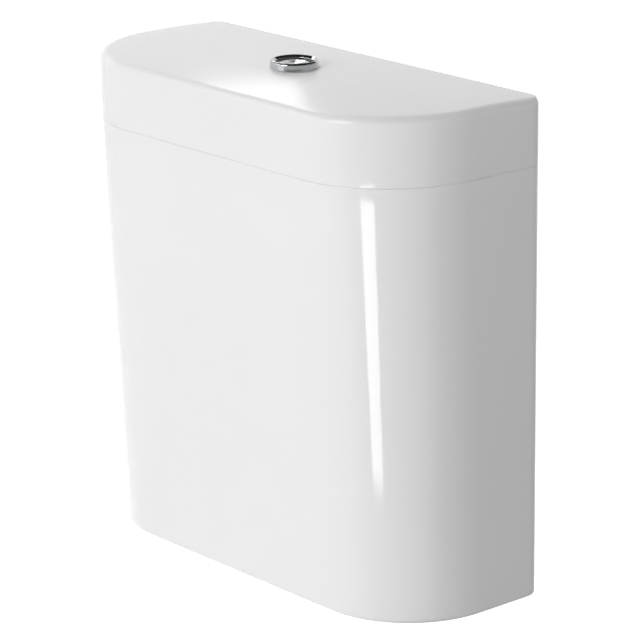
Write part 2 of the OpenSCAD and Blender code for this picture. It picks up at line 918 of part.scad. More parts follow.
// Full-flush rocker
module full_rocker() {
  color(blue_c)
    translate([full_pin_x, 0, full_pin_z])
      rocker(full_arm);
}

// Half-flush rocker
module half_rocker() {
  color(green_c)
    translate([-half_pin_x, 0, half_pin_z])
      mirror([1, 0, 0])
        rocker(half_arm);
}

// Two rocker pins
module rocker_pins() {
  half_len = tower_in_y + tower_t;
  color(steel_c) {
    cross_rod(full_pin_x, full_pin_z, rocker_pin_r, half_len);
    cross_rod(-half_pin_x, half_pin_z, rocker_pin_r, half_len);
  }
}

// Fill valve body: threaded tail, flange, riser with a stop ring, and head
module fill_valve_body() {
  stop_r = riser_r + stop_rim;
  free_r = tail_r - tail_step;
  free_z = nut_z - free_thread;
  flange_top_z = fill_flange_z + fill_flange_t;
  color(white_c)
    translate(fill_pos)
      difference() {
        rotate_extrude()
          polygon([[0, tail_z], [free_r - tail_edge, tail_z], [free_r, tail_z + tail_edge],
            [free_r, free_z], [tail_r, free_z], [tail_r, fill_flange_z], [fill_flange_r, fill_flange_z],
            [fill_flange_r, flange_top_z], [riser_r, flange_top_z], [riser_r, stop_z], [stop_r, stop_z],
            [stop_r, stop_z + stop_t], [riser_r, stop_z + stop_t], [riser_r, riser_top_z - riser_cone],
            [head_r, riser_top_z], [head_r, head_top], [0, head_top]]);
        post(tail_bore_r, tail_z - eps, recess_h);
        for (a = [0:60:300])
          rotate([0, 0, a])
            block([riser_r - port_depth, -port_half, fill_flange_z + port_low],
              [riser_r + eps, port_half, fill_flange_z + port_high]);
      }
}

// Rubber diaphragm between head and cap
module diaphragm() {
  color(rubber_c)
    translate(fill_pos)
      post(head_r, head_top, fill_cap_z);
}

// Screw cap with the pilot nozzle and the lever's two ears
module fill_valve_cap() {
  color(grey_c)
    translate(fill_pos)
      difference() {
        union() {
          post(fill_cap_r - cap_wall_in, fill_cap_z, fill_cap_top);
          for (a = [0:24:336])
            rotate([0, 0, a])
              translate([fill_cap_r - cap_wall_in, 0, 0])
                post(cap_rib_r, fill_cap_z, fill_cap_top - eps);
          post(nozzle_r, fill_cap_top - eps, nozzle_top);
          for (s = [-1, 1])
            translate([lever_pin_x, s * (ear_in_y + ear_t / 2), 0])
              block([-ear_half, -ear_t / 2, fill_cap_top - eps],
                [ear_half, ear_t / 2, lever_pin_z + ear_half]);
        }
        cross_rod(lever_pin_x, lever_pin_z, lever_pin_r + slip, ear_in_y + ear_t + eps);
      }
}

// Rubber washer under the fill valve's flange
module inlet_washer() {
  color(rubber_c)
    translate(fill_pos)
      ring(tail_r + gap, fill_flange_r, floor_z, fill_flange_z);
}

// Hexagon nut under the tank on the inlet tail
module inlet_nut() {
  color(white_c)
    translate(fill_pos)
      difference() {
        union() {
          translate([0, 0, nut_z])
            cylinder(r = inlet_hex_r, h = nut_h - inlet_rim_h, $fn = 6);
          post(inlet_rim_r, recess_h - inlet_rim_h, recess_h);
        }
        post(tail_r + slip, nut_z - eps, recess_h + eps);
      }
}

// Strainer in the inlet tail
module inlet_strainer() {
  r = tail_bore_r - slip;
  top_z = tail_z + tail_drop / 2;
  color(green_c)
    translate(fill_pos)
      difference() {
        post(r, tail_z + eps, top_z);
        post(r - strainer_wall, tail_z, top_z - strainer_end);
        for (a = [0:60:120])
          rotate([0, 0, a])
            block([-r - eps, -strainer_slot, tail_z + strainer_low],
              [r + eps, strainer_slot, top_z - strainer_end - eps]);
      }
}

// Sealed float that slides on the riser
module float_cup() {
  in_r = riser_r + slide_play;
  boss_top = float_top + rod_boss_h;
  color(white_c)
    translate(fill_pos)
      difference() {
        union() {
          rotate_extrude()
            polygon([[in_r, float_z], [float_r - float_edge, float_z], [float_r, float_z + float_edge],
              [float_r, float_top - float_edge], [float_r - float_edge, float_top], [in_r, float_top]]);
          translate([rod_x, 0, 0])
            post(rod_boss_r, float_top - eps, boss_top);
        }
        translate([rod_x, 0, 0])
          post(float_rod_r + slip, float_top - rod_sink, boss_top + eps);
      }
}

// Threaded rod from the float to the lever, with a round knob under the lever
module float_rod() {
  color(grey_c)
    translate(fill_pos + [rod_x, 0, 0])
      union() {
        post(float_rod_r, float_top - rod_sink, lever_pin_z + rod_over);
        translate([0, 0, knob_z])
          sphere(r = knob_r);
      }
}

// Level clip that sets the rod's height in the float
module level_clip() {
  z0 = float_top + rod_boss_h;
  z1 = z0 + clip_t;
  color(blue_c)
    translate(fill_pos + [rod_x, 0, 0])
      difference() {
        block([-clip_half[0], -clip_half[1], z0], [clip_half[0], clip_half[1], z1]);
        post(float_rod_r + slip, z0 - eps, z1 + eps);
      }
}

// Float lever: pad over the nozzle, hub on the pin, fork round the rod
module float_lever() {
  fork_y = float_rod_r + fork_play;
  tip_x = lever_arm + lever_tip;
  color(blue_c)
    translate(fill_pos + [lever_pin_x, 0, lever_pin_z])
      rotate([0, lever_swing, 0])
        difference() {
          union() {
            cross_rod(0, 0, lever_hub_r, lever_half_y);
            block([-lever_pin_x - lever_tail, -lever_half_y, -lever_half_t],
              [tip_x, lever_half_y, lever_half_t]);
          }
          cross_rod(0, 0, lever_pin_r + slip, lever_half_y + eps);
          block([lever_arm - lever_slot, -fork_y, -lever_half_t - eps],
            [tip_x + eps, fork_y, lever_half_t + eps]);
        }
}

// Pin of the float lever
module lever_pin() {
  color(steel_c)
    translate(fill_pos)
      cross_rod(lever_pin_x, lever_pin_z, lever_pin_r, ear_in_y + ear_t);
}

// Two coupling bolts with hexagon heads inside the tank and a free thread below the nuts
module coupling_bolts() {
  color(steel_c)
    at_bolts()
      union() {
        translate([0, 0, bolt_head_z])
          cylinder(r = hex_r, h = bolt_head_h, $fn = 6);
        post(bolt_r, thread_z, bolt_head_z + eps);
        post(bolt_r - thread_step, recess_h - bolt_drop, thread_z + eps);
      }
}

// Rubber washers on the tank floor
module bolt_rubbers() {
  color(rubber_c)
    at_bolts()
      ring(bolt_r + slip, rubber_r, floor_z, floor_z + rubber_t);
}

// Steel washers under the bolt heads
module bolt_head_washers() {
  color(steel_c)
    at_bolts()
      ring(bolt_r + slip, head_washer_r, floor_z + rubber_t, bolt_head_z);
}

// Steel washers under the tank
module bolt_under_washers() {
  color(steel_c)
    at_bolts()
      ring(bolt_r + slip, under_washer_r, recess_h - steel_t, recess_h);
}

// Nuts under the tank
module bolt_nuts() {
  color(steel_c)
    at_bolts()
      difference() {
        translate([0, 0, under_nut_z])
          cylinder(r = hex_r, h = bolt_nut_h, $fn = 6);
        post(bolt_r + slip, under_nut_z - eps, under_nut_z + bolt_nut_h + eps);
      }
}

tank();
lid();
button_bezel();
button_housing();
button_nut();
full_button();
half_button();
full_push_rod();
half_push_rod();
full_button_spring();
half_button_spring();
valve_base();
base_seal();
valve_backnut();
coupling_gasket();
valve_cage();
valve_head();
lift_tube();
lift_collar();
valve_seal();
flush_float();
half_sleeve();
full_pusher();
half_pusher();
full_rocker();
half_rocker();
rocker_pins();
fill_valve_body();
diaphragm();
fill_valve_cap();
inlet_washer();
inlet_nut();
inlet_strainer();
float_cup();
float_rod();
level_clip();
float_lever();
lever_pin();
coupling_bolts();
bolt_rubbers();
bolt_head_washers();
bolt_under_washers();
bolt_nuts();
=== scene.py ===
"""Toilet cistern: glazed ceramic tank and lid, chrome dual button, flush valve and fill valve.

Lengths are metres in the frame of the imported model: the origin lies on the outlet's axis in the plane
of the tank's foot, X runs to the right seen from the front, Y to the wall and Z up.
"""

import json
from math import atan2, cos, pi, radians, sin

import bmesh
import bpy
from mathutils import Matrix, Vector


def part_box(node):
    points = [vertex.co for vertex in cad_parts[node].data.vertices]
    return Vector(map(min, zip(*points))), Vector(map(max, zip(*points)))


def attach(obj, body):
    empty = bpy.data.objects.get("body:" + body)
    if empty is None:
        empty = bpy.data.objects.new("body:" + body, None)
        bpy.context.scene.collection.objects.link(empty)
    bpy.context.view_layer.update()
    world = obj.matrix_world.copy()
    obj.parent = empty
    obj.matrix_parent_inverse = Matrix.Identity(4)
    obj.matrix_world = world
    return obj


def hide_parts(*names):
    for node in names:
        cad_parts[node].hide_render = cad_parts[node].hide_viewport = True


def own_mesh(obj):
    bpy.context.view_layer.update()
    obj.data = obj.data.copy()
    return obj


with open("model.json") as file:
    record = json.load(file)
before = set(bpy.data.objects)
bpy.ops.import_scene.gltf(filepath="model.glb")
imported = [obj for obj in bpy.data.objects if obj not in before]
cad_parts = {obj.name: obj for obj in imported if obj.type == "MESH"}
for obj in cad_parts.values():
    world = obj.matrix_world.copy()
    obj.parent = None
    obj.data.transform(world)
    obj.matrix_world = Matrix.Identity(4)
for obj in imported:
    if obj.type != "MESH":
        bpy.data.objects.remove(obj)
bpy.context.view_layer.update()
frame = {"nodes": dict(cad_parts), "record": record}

bl_info = {
    "name": "Toilet cistern",
    "version": (1, 0, 0),
    "blender": (4, 5, 0),
    "location": "View3D > Sidebar > Cistern",
    "description": "Ceramic, chrome and plastic pieces of a cistern with a dual push button",
    "category": "Object",
}

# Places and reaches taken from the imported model
LID_LOW, LID_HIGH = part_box("lid")
HALF_WIDTH, BACK, CROWN_Z = LID_HIGH
FRONT, LUG_Z = LID_LOW.y, LID_LOW.z
RIM_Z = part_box("tank")[1].z
FLOOR_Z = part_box("base_seal")[0].z
UNDER_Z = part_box("coupling_gasket")[1].z

# Steps of the outlines: front corner, back corner, side, back and front runs
CORNER_STEPS = 40
BACK_CORNER_STEPS = 8
SIDE_RUN = 8
BACK_RUN = 28
FRONT_RUN = 24
# Steps of a rounded edge, of a wall's height and of a face drawn in to a hole
EDGE_STEPS = 10
WALL_STEPS = 24
FACE_STEPS = 14
# Steps round turned pieces, over the ring's top and its lip, over a button's dish and round an upright tool
TURN_STEPS = 160
RING_STEPS = 24
LIP_STEPS = 8
DISH_STEPS = 24
POST_STEPS = 64
# Points in a turn of a spring and of a thread, and sides of their sections
SPRING_POINTS, WIRE_SIDES = 40, 12
THREAD_POINTS, RIDGE_SIDES = 28, 4
# Faces that meet at more than this angle keep a hard edge
CREASE = radians(32)
# Distance at which points become one, and how far a cut runs into the face that it ends at
WELD = 1e-7
OVERCUT = 1e-5


def length(name, description, default):
    """A length that a user may change."""
    return bpy.props.FloatProperty(
        name=name, description=description, default=default, min=0.0, precision=5, unit="LENGTH"
    )


def share(name, description, default, most=1.0):
    """A plain number that a user may change."""
    return bpy.props.FloatProperty(
        name=name, description=description, default=default, min=0.0, max=most
    )


def angle(name, description, degrees):
    """An angle that a user may change."""
    return bpy.props.FloatProperty(
        name=name, description=description, default=radians(degrees), subtype="ANGLE"
    )


def colour(name, description, default):
    """A linear colour that a user may change."""
    return bpy.props.FloatVectorProperty(
        name=name, description=description, default=default, min=0.0, max=1.0, size=3, subtype="COLOR"
    )


class CeramicSizes(bpy.types.PropertyGroup):
    """Sizes of the tank and the lid."""

    wall: length("Wall", "Thickness of the ceramic walls", 0.009)
    corner_r: length("Corner", "Radius of the front corners at the rim", 0.090)
    foot_corner_r: length("Foot corner", "Radius of the front corners at the foot", 0.0825)
    back_corner_r: length("Back corner", "Radius of the back corners", 0.012)
    least_r: length("Least corner", "Smallest radius of an inner back corner", 0.002)
    front_lean: length("Front lean", "Set-back of the front from the rim to the foot", 0.0177)
    side_lean: length("Side lean", "Set-in of each side from the rim to the foot", 0.0005)
    foot_edge_r: length("Foot edge", "Rounding of the foot edge", 0.0035)
    foot_w: length("Foot width", "Width of the foot round the hollow underneath", 0.010)
    foot_lip_r: length("Foot lip", "Rounding of the foot's inner edge", 0.0015)
    recess_edge_r: length("Hollow edge", "Rounding in the hollow underneath", 0.006)
    seat_play: length("Seat play", "Room round the gasket in its seat", 0.0015)
    inner_edge_r: length("Inner edge", "Rounding between walls and floor", 0.012)
    rim_lip_r: length("Rim lip", "Rounding of the rim's inner edge", 0.0025)
    seam_r: length("Seam edge", "Rounding of the two edges that make the seam", 0.0009)
    outlet_r: length("Outlet hole", "Radius of the outlet hole", 0.032)
    bolt_hole_r: length("Bolt hole", "Radius of a bolt hole", 0.006)
    inlet_hole_r: length("Inlet hole", "Radius of the inlet hole", 0.012)
    hole_edge_r: length("Hole edge", "Rounding of the holes' edges", 0.0008)
    lid_rise: length("Crown", "Rise of the lid's top from its front edge to the middle", 0.0037)
    lid_edge_r: length("Lid edge", "Rounding of the lid's front top edge", 0.0058)
    lid_side_edge_r: length("Lid side edge", "Width of the rounding of the lid's side top edges", 0.0072)
    lid_back_edge_r: length("Lid back edge", "Rounding of the lid's back top edge", 0.0015)
    lid_top: length("Lid top", "Thickness of the lid in the middle", 0.012)
    lid_inner_r: length("Lid hollow edge", "Rounding inside the lid", 0.008)
    tuck: length("Tuck", "Set-back of the lid's lower edge", 0.0002)
    tuck_h: length("Tuck height", "Height over which the lid's wall sets back", 0.016)
    lid_hole_r: length("Button hole", "Radius of the button's hole in the lid", 0.017)
    seat_r: length("Button seat", "Radius of the flat seat round the button", 0.021)
    side_raise: length("Side raise", "How much higher the lid's side edges are than its front edge", 0.0016)
    flat_share: share("Flat share", "Share of the rise past which the top is flat", 0.90)
    lug_w: length("Lug width", "Width of a locating lug", 0.034)
    lug_t: length("Lug thickness", "Thickness of a locating lug", 0.007)
    lug_play: length("Lug play", "Play between a lug and the tank's wall", 0.0015)
    lug_bite: length("Lug bite", "Depth of a lug's root in the lid's wall", 0.002)
    lug_round: length("Lug edge", "Rounding of a lug's edges", 0.001)
    lug_step: length("Lug step", "Height of a lug's step over the rim", 0.003)
    lug_shoulder: length("Lug shoulder", "Height of a lug's full thickness over the rim", 0.014)
    lug_top: length("Lug top", "Height of a lug's root over the rim", 0.020)
    front_lug_place: share("Front lugs", "Place of a front lug as a share of the half width", 0.38)
    back_lug_place: share("Back lugs", "Place of a back lug as a share of the half width", 0.62)


class ButtonSizes(bpy.types.PropertyGroup):
    """Sizes of the chrome ring and the split button."""

    ring_round: length("Ring rounding", "Radius of the ring's top", 0.0017)
    ring_draft: length("Ring draft", "Lean of the ring's outer wall", 0.0005)
    ring_dip: length("Ring dip", "Drop of the ring's top to its inner edge", 0.0014)
    ring_foot: length("Ring foot", "Width of the ring's foot on the lid", 0.0011)
    ring_seat: length("Ring seat", "Height of the collar inside the ring", 0.0014)
    ring_inner_r: length("Ring bore", "Radius of the ring's bore", 0.0149)
    cap: length("Cap", "Thickness of a button's cap at its rim", 0.0034)
    skirt: length("Skirt", "Wall of a button's skirt", 0.0016)
    skirt_h: length("Skirt height", "Height of a button's skirt under its cap", 0.012)
    face_edge: length("Face edge", "Rounding of the button's outer edge", 0.0006)
    split_edge: length("Split edge", "Rounding of the edges at the split", 0.0002)
    dish: length("Dish", "Depth of the dished face", 0.0012)
    dish_rim: length("Dish rim", "Flat width round the dish", 0.0011)
    stem_r: length("Stem", "Radius of a button's stem", 0.00275)
    stem_bore_r: length("Stem bore", "Bore of a button's stem", 0.00205)
    stem_sink: length("Stem sink", "How far a stem runs into its cap", 0.0004)
    stem_roof: length("Stem roof", "Distance from the top of the bore to the cap", 0.001)


class HardwareSizes(bpy.types.PropertyGroup):
    """Sizes of the springs and threads."""

    spring_wire: length("Spring wire", "Diameter of the springs' wire", 0.0008)
    spring_turns: share("Spring turns", "Turns of a return spring", 7.0, 20.0)
    spring_close: share("Closed ends", "How much the end turns of a spring close up", 0.55)
    button_travel: length("Button travel", "Travel of each button", 0.008)
    bolt_pitch: length("Bolt pitch", "Pitch of the coupling bolts", 0.00125)
    tail_pitch: length("Tail pitch", "Pitch of the inlet tail", 0.00181)
    spigot_pitch: length("Spigot pitch", "Pitch of the outlet spigot", 0.003)
    rod_pitch: length("Rod pitch", "Pitch of the push rods and the float rod", 0.0008)
    housing_pitch: length("Housing pitch", "Pitch of the button housing", 0.002)
    bolt_r: length("Bolt thread", "Radius of the bolts' free thread", 0.0037)
    tail_r: length("Tail thread", "Radius of the inlet tail's free thread", 0.01015)
    spigot_r: length("Spigot thread", "Radius of the outlet spigot's free thread", 0.0298)
    housing_r: length("Housing thread", "Radius of the button housing's thread", 0.0162)
    float_rod_r: length("Float rod thread", "Radius of the float rod's thread", 0.0017)
    ridge: length("Ridge", "Height of a thread's ridge", 0.0003)
    rod_ridge: length("Rod ridge", "Height of a push rod's ridge", 0.00015)
    float_ridge: length("Float rod ridge", "Height of the float rod's ridge", 0.00012)
    thread_end: length("Thread end", "Plain length at a thread's end", 0.0012)
    rod_guide: length("Rod guide", "Plain length of a push rod under the button housing", 0.010)
    float_rod_top: length("Float rod top", "Plain length at the float rod's top", 0.028)


class Colours(bpy.types.PropertyGroup):
    """Colours of the finishes."""

    glaze: colour("Glaze", "White glaze of the ceramic", (0.88, 0.88, 0.88))
    biscuit: colour("Biscuit", "Bare ceramic under the foot", (0.74, 0.71, 0.66))
    chrome: colour("Chrome", "Plated chrome", (0.62, 0.63, 0.64))
    white: colour("White plastic", "White moulded plastic", (0.80, 0.81, 0.81))
    grey: colour("Grey plastic", "Grey moulded plastic", (0.34, 0.36, 0.38))
    blue: colour("Blue plastic", "Blue moulded plastic", (0.045, 0.17, 0.46))
    green: colour("Green plastic", "Green moulded plastic", (0.07, 0.31, 0.14))
    rubber: colour("Rubber", "Black rubber", (0.014, 0.014, 0.015))
    steel: colour("Steel", "Zinc-plated steel", (0.56, 0.56, 0.58))


class StageSettings(bpy.types.PropertyGroup):
    """Camera, floor and light."""

    azimuth: angle("Camera azimuth", "Turn of the camera round the cistern", 49.62)
    elevation: angle("Camera elevation", "Height angle of the camera", 16.80)
    roll: angle("Camera roll", "Roll of the camera", -0.70)
    distance: length("Camera distance", "Distance from the aim to the camera", 2.6869)
    lens: share("Lens", "Focal length in millimetres on a 36 mm sensor", 189.927, 500.0)
    aim_y: bpy.props.FloatProperty(
        name="Aim depth", description="Depth of the aim point", default=-0.0025, unit="LENGTH"
    )
    aim_z: length("Aim height", "Height of the aim point", 0.2)
    aim_u: share("Aim across", "Pixel column of the aim point", 295.5, 640.0)
    aim_v: share("Aim down", "Pixel row of the aim point", 317.4, 640.0)
    floor_drop: length("Floor drop", "Height of the cistern's underside above the floor", 0.40)
    ambient: share("Ambient", "Even light from low down", 1.87, 5.0)
    right: share("Right light", "Further low light from the right", 0.93, 5.0)
    front: share("Front light", "Further low light from the front", 0.4, 5.0)
    back: share("Back light", "Further low light from the back", 0.3, 5.0)
    zenith: share("Zenith", "Light from overhead", 0.15, 5.0)
    key: share("Key", "Power of the front light in watts", 20.3, 500.0)
    key_height: angle("Key height", "Height angle of the front light", 22.0)
    key_distance: length("Key distance", "Distance of the front light", 2.4)
    key_size: length("Key size", "Width and height of the front light", 1.2)
    top: share("Top light", "Power of the light over the lid in watts", 22.5, 500.0)
    top_turn: angle("Top light turn", "Turn of the top light from the front", -110.0)
    top_height: angle("Top light height", "Height angle of the top light", 50.0)
    top_distance: length("Top light distance", "Distance of the top light", 2.0)
    top_size: length("Top light size", "Width and height of the top light", 1.0)


def link(name, mesh):
    """An object at the origin that shows a mesh."""
    piece = bpy.data.objects.new(name, mesh)
    bpy.context.scene.collection.objects.link(piece)
    return piece


def dress(piece, finish, body, slot, *nodes):
    """Gives a piece its finish, the body it rides on and the nodes it stands for."""
    piece.data.materials.clear()
    piece.data.materials.append(finish)
    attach(piece, body)
    if nodes:
        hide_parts(*nodes)


def settle(piece):
    """Turns a piece's modifiers into its plain mesh."""
    bpy.context.view_layer.update()
    evaluated = piece.evaluated_get(bpy.context.evaluated_depsgraph_get())
    mesh = bpy.data.meshes.new_from_object(evaluated)
    piece.modifiers.clear()
    old = piece.data
    piece.data = mesh
    bpy.data.meshes.remove(old)
    mesh.name = piece.name


def soften(piece):
    """Smooth faces with hard edges at the creases."""
    piece.data.shade_smooth()
    piece.data.set_sharp_from_angle(angle=CREASE)


def combine(piece, tool, operation):
    """Joins a tool's solid to a piece, or cuts it out, and removes the tool."""
    cut = piece.modifiers.new(operation.title(), "BOOLEAN")
    cut.operation = operation
    cut.solver = "EXACT"
    cut.object = tool
    settle(piece)
    mesh = tool.data
    bpy.data.objects.remove(tool)
    bpy.data.meshes.remove(mesh)
    if not piece.data.polygons:
        raise RuntimeError(f"nothing is left of {piece.name}")


def from_bmesh(name, shape):
    """An object made from a bmesh, which is freed."""
    mesh = bpy.data.meshes.new(name)
    shape.to_mesh(mesh)
    shape.free()
    return link(name, mesh)


def skin(name, rings):
    """A closed mesh over rings of equal count, whose last ring joins its first."""
    count = len(rings[0])
    points = [point for ring in rings for point in ring]
    faces = []
    for k in range(len(rings)):
        low = k * count
        high = (k + 1) % len(rings) * count
        for i in range(count):
            j = (i + 1) % count
            faces.append((low + i, low + j, high + j, high + i))
    mesh = bpy.data.meshes.new(name)
    mesh.from_pydata(points, [], faces)
    mesh.validate()
    return link(name, mesh)


def lathe(name, profile):
    """A closed profile of (radius, height) turned about Z, rising on its outside."""
    turns = [2 * pi * i / TURN_STEPS for i in range(TURN_STEPS)]
    piece = skin(name, [[(r * cos(a), r * sin(a), z) for a in turns] for r, z in profile])
    shape = bmesh.new()
    shape.from_mesh(piece.data)
    bmesh.ops.remove_doubles(shape, verts=shape.verts, dist=WELD)
    shape.to_mesh(piece.data)
    shape.free()
    return piece


def arc(x, y, radius, start, end, steps):
    """Points of an arc between two angles in degrees."""
    turns = [radians(start + (end - start) * i / steps) for i in range(steps + 1)]
    return [(x + radius * cos(a), y + radius * sin(a)) for a in turns]


def run(start, end, steps):
    """Points that divide a straight run, without its ends."""
    (x0, y0), (x1, y1) = start, end
    return [(x0 + (x1 - x0) * i / steps, y0 + (y1 - y0) * i / steps) for i in range(1, steps)]


def between(start, end, steps):
    """Numbers that divide a range, without its ends."""
    return [start + (end - start) * i / steps for i in range(1, steps)]


def curl(radius):
    """A quarter round as pairs of height and inset, from its upright end to its level one."""
    turns = [radians(90 * i / EDGE_STEPS) for i in range(EDGE_STEPS + 1)]
    return [(radius * (1 - sin(a)), radius * (1 - cos(a))) for a in turns]


def plan(half, front, back, front_r, back_r):
    """D-shaped outline with large front corners, counter-clockwise from the right front corner."""
    right = arc(half - front_r, front + front_r, front_r, -90, 0, CORNER_STEPS)
    right += run((half, front + front_r), (half, back - back_r), SIDE_RUN)
    right += arc(half - back_r, back - back_r, back_r, 0, 90, BACK_CORNER_STEPS)
    left = [(-x, y) for x, y in reversed(right)]
    across_back = run((half - back_r, back), (back_r - half, back), BACK_RUN)
    across_front = run((front_r - half, front), (half - front_r, front), FRONT_RUN)
    return right + across_back + left + across_front


def tank_ring(sizes, z, inset):
    """The tank's outline at a height, set in all round."""
    lean = max(0.0, 1 - z / RIM_Z)
    outline = plan(
        HALF_WIDTH - sizes.tuck - sizes.side_lean * lean - inset,
        FRONT + sizes.tuck + sizes.front_lean * lean + inset,
        BACK - inset,
        sizes.corner_r + (sizes.foot_corner_r - sizes.corner_r) * lean - inset,
        max(sizes.back_corner_r - inset, sizes.least_r),
    )
    return [(x, y, z) for x, y in outline]


def lid_ring(sizes, z, inset, back_inset=None, side_inset=None):
    """The lid's outline at a height, set in at the front and, unless given, as far at the back and sides."""
    outline = plan(
        HALF_WIDTH - (inset if side_inset is None else side_inset),
        FRONT + inset,
        BACK - (inset if back_inset is None else back_inset),
        sizes.corner_r - inset,
        max(sizes.back_corner_r - inset, sizes.least_r),
    )
    return [(x, y, z) for x, y in outline]


def draw_in(ring, radius, way, z):
    """A ring drawn in by a share of the way to a circle round the outlet's axis."""
    drawn = []
    for x, y, _ in ring:
        a = atan2(y, x)
        drawn.append((x + (radius * cos(a) - x) * way, y + (radius * sin(a) - y) * way, z))
    return drawn


def shares(steps):
    """Shares of a way from its first step to its end."""
    return [i / steps for i in range(1, steps + 1)]


def tank_rings(sizes):
    """Rings over the tank's outside, rim, inside, floor, outlet hole and the hollow underneath."""
    low = [tank_ring(sizes, up, inset) for up, inset in reversed(curl(sizes.foot_edge_r))]
    high = [tank_ring(sizes, RIM_Z - down, inset) for down, inset in curl(sizes.seam_r)]
    outer_z = between(sizes.foot_edge_r, RIM_Z - sizes.seam_r, WALL_STEPS)
    outside = low + [tank_ring(sizes, z, 0) for z in outer_z] + high
    lip = [tank_ring(sizes, RIM_Z - down, sizes.wall - inset)
           for down, inset in reversed(curl(sizes.rim_lip_r))]
    inner_z = between(RIM_Z - sizes.rim_lip_r, FLOOR_Z + sizes.inner_edge_r, WALL_STEPS)
    bowl = [tank_ring(sizes, FLOOR_Z + up, sizes.wall + inset)
            for up, inset in curl(sizes.inner_edge_r)]
    inside = lip + [tank_ring(sizes, z, sizes.wall) for z in inner_z] + bowl
    wide_r = sizes.outlet_r + sizes.hole_edge_r
    floor = [draw_in(bowl[-1], wide_r, way, FLOOR_Z) for way in shares(FACE_STEPS)]
    edge = curl(sizes.hole_edge_r)
    hole = [draw_in(low[0], sizes.outlet_r + out, 1, FLOOR_Z - down) for down, out in edge[-2::-1]]
    hole += [draw_in(low[0], sizes.outlet_r + out, 1, UNDER_Z + up) for up, out in edge]
    recess = [tank_ring(sizes, UNDER_Z - down, sizes.foot_w + inset)
              for down, inset in reversed(curl(sizes.recess_edge_r))]
    underside = [draw_in(recess[0], wide_r, 1 - way, UNDER_Z) for way in shares(FACE_STEPS)[:-1]]
    foot = [tank_ring(sizes, up, sizes.foot_w - inset) for up, inset in curl(sizes.foot_lip_r)]
    return outside + inside + floor + hole + underside + recess + foot


def lid_rings(sizes):
    """Rings over the lid's outside, its top while still level, the button's hole and the hollow."""
    edge_z = CROWN_Z - sizes.lid_rise
    ceiling_z = CROWN_Z - sizes.lid_top
    back_share = sizes.lid_back_edge_r / sizes.lid_edge_r
    side_share = sizes.lid_side_edge_r / sizes.lid_edge_r
    low = [lid_ring(sizes, RIM_Z + up, sizes.tuck + inset, inset) for up, inset in reversed(curl(sizes.seam_r))]
    tuck_z = RIM_Z + sizes.tuck_h
    skirt = [lid_ring(sizes, tuck_z - (sizes.tuck_h - sizes.seam_r) * (1 - way), sizes.tuck * (1 - way) ** 2, 0)
             for way in shares(EDGE_STEPS)]
    side_z = between(tuck_z, edge_z - sizes.lid_edge_r, EDGE_STEPS)
    side = [lid_ring(sizes, z, 0) for z in side_z]
    edge = [lid_ring(sizes, edge_z - down, inset, inset * back_share, inset * side_share)
            for down, inset in curl(sizes.lid_edge_r)]
    top = [draw_in(edge[-1], sizes.seat_r, way, edge_z) for way in shares(FACE_STEPS)]
    rim = curl(sizes.hole_edge_r)
    hole = [draw_in(edge[-1], sizes.lid_hole_r + out, 1, edge_z - down) for down, out in reversed(rim)]
    hole += [draw_in(edge[-1], sizes.lid_hole_r + out, 1, ceiling_z + up) for up, out in rim]
    roof = [lid_ring(sizes, ceiling_z - down, sizes.wall + inset)
            for down, inset in reversed(curl(sizes.lid_inner_r))]
    wide_r = sizes.lid_hole_r + sizes.hole_edge_r
    ceiling = [draw_in(roof[0], wide_r, 1 - way, ceiling_z) for way in shares(FACE_STEPS)[:-1]]
    wall_z = between(ceiling_z - sizes.lid_inner_r, tuck_z, EDGE_STEPS)
    wall = [lid_ring(sizes, z, sizes.wall) for z in [*wall_z, tuck_z]]
    mouth = [lid_ring(sizes, RIM_Z + up, sizes.wall + sizes.tuck - inset, sizes.wall - inset,
                      sizes.wall + sizes.tuck - inset)
             for up, inset in curl(sizes.rim_lip_r)]
    return low + skirt + side + edge + top + hole + ceiling + roof + wall + mouth


def posts(name, places, low, high):
    """Upright round tools as one mesh; a place is x, y and radius."""
    shape = bmesh.new()
    for x, y, radius in places:
        bmesh.ops.create_cone(
            shape, cap_ends=True, segments=POST_STEPS, radius1=radius, radius2=radius, depth=high - low,
            matrix=Matrix.Translation((x, y, (low + high) / 2)),
        )
    return from_bmesh(name, shape)


def lugs(sizes):
    """Four locating lugs as one mesh, rooted in the lid's front and back walls."""
    root = sizes.wall - sizes.lug_bite
    face = sizes.wall + sizes.tuck + sizes.lug_play
    deep = face + sizes.lug_t
    step_z = RIM_Z + sizes.lug_step
    outline = [(face, LUG_Z), (deep, LUG_Z), (deep, RIM_Z + sizes.lug_shoulder),
               (root, RIM_Z + sizes.lug_top), (root, step_z), (face, step_z)]
    shape = bmesh.new()
    for wall_y, inward, place in ((FRONT, 1, sizes.front_lug_place), (BACK, -1, sizes.back_lug_place)):
        for side in (-1, 1):
            middle = side * place * HALF_WIDTH
            ends = []
            for x in (middle - sizes.lug_w / 2, middle + sizes.lug_w / 2):
                ends.append([shape.verts.new((x, wall_y + inward * d, z)) for d, z in outline])
            left, right = ends
            shape.faces.new(left)
            shape.faces.new(right[::-1])
            for i in range(len(outline)):
                j = (i + 1) % len(outline)
                shape.faces.new((left[j], left[i], right[i], right[j]))
    bmesh.ops.recalc_face_normals(shape, faces=shape.faces)
    bmesh.ops.bevel(shape, geom=shape.edges, offset=sizes.lug_round, segments=3, profile=0.5,
                    affect="EDGES")
    return from_bmesh("lugs", shape)


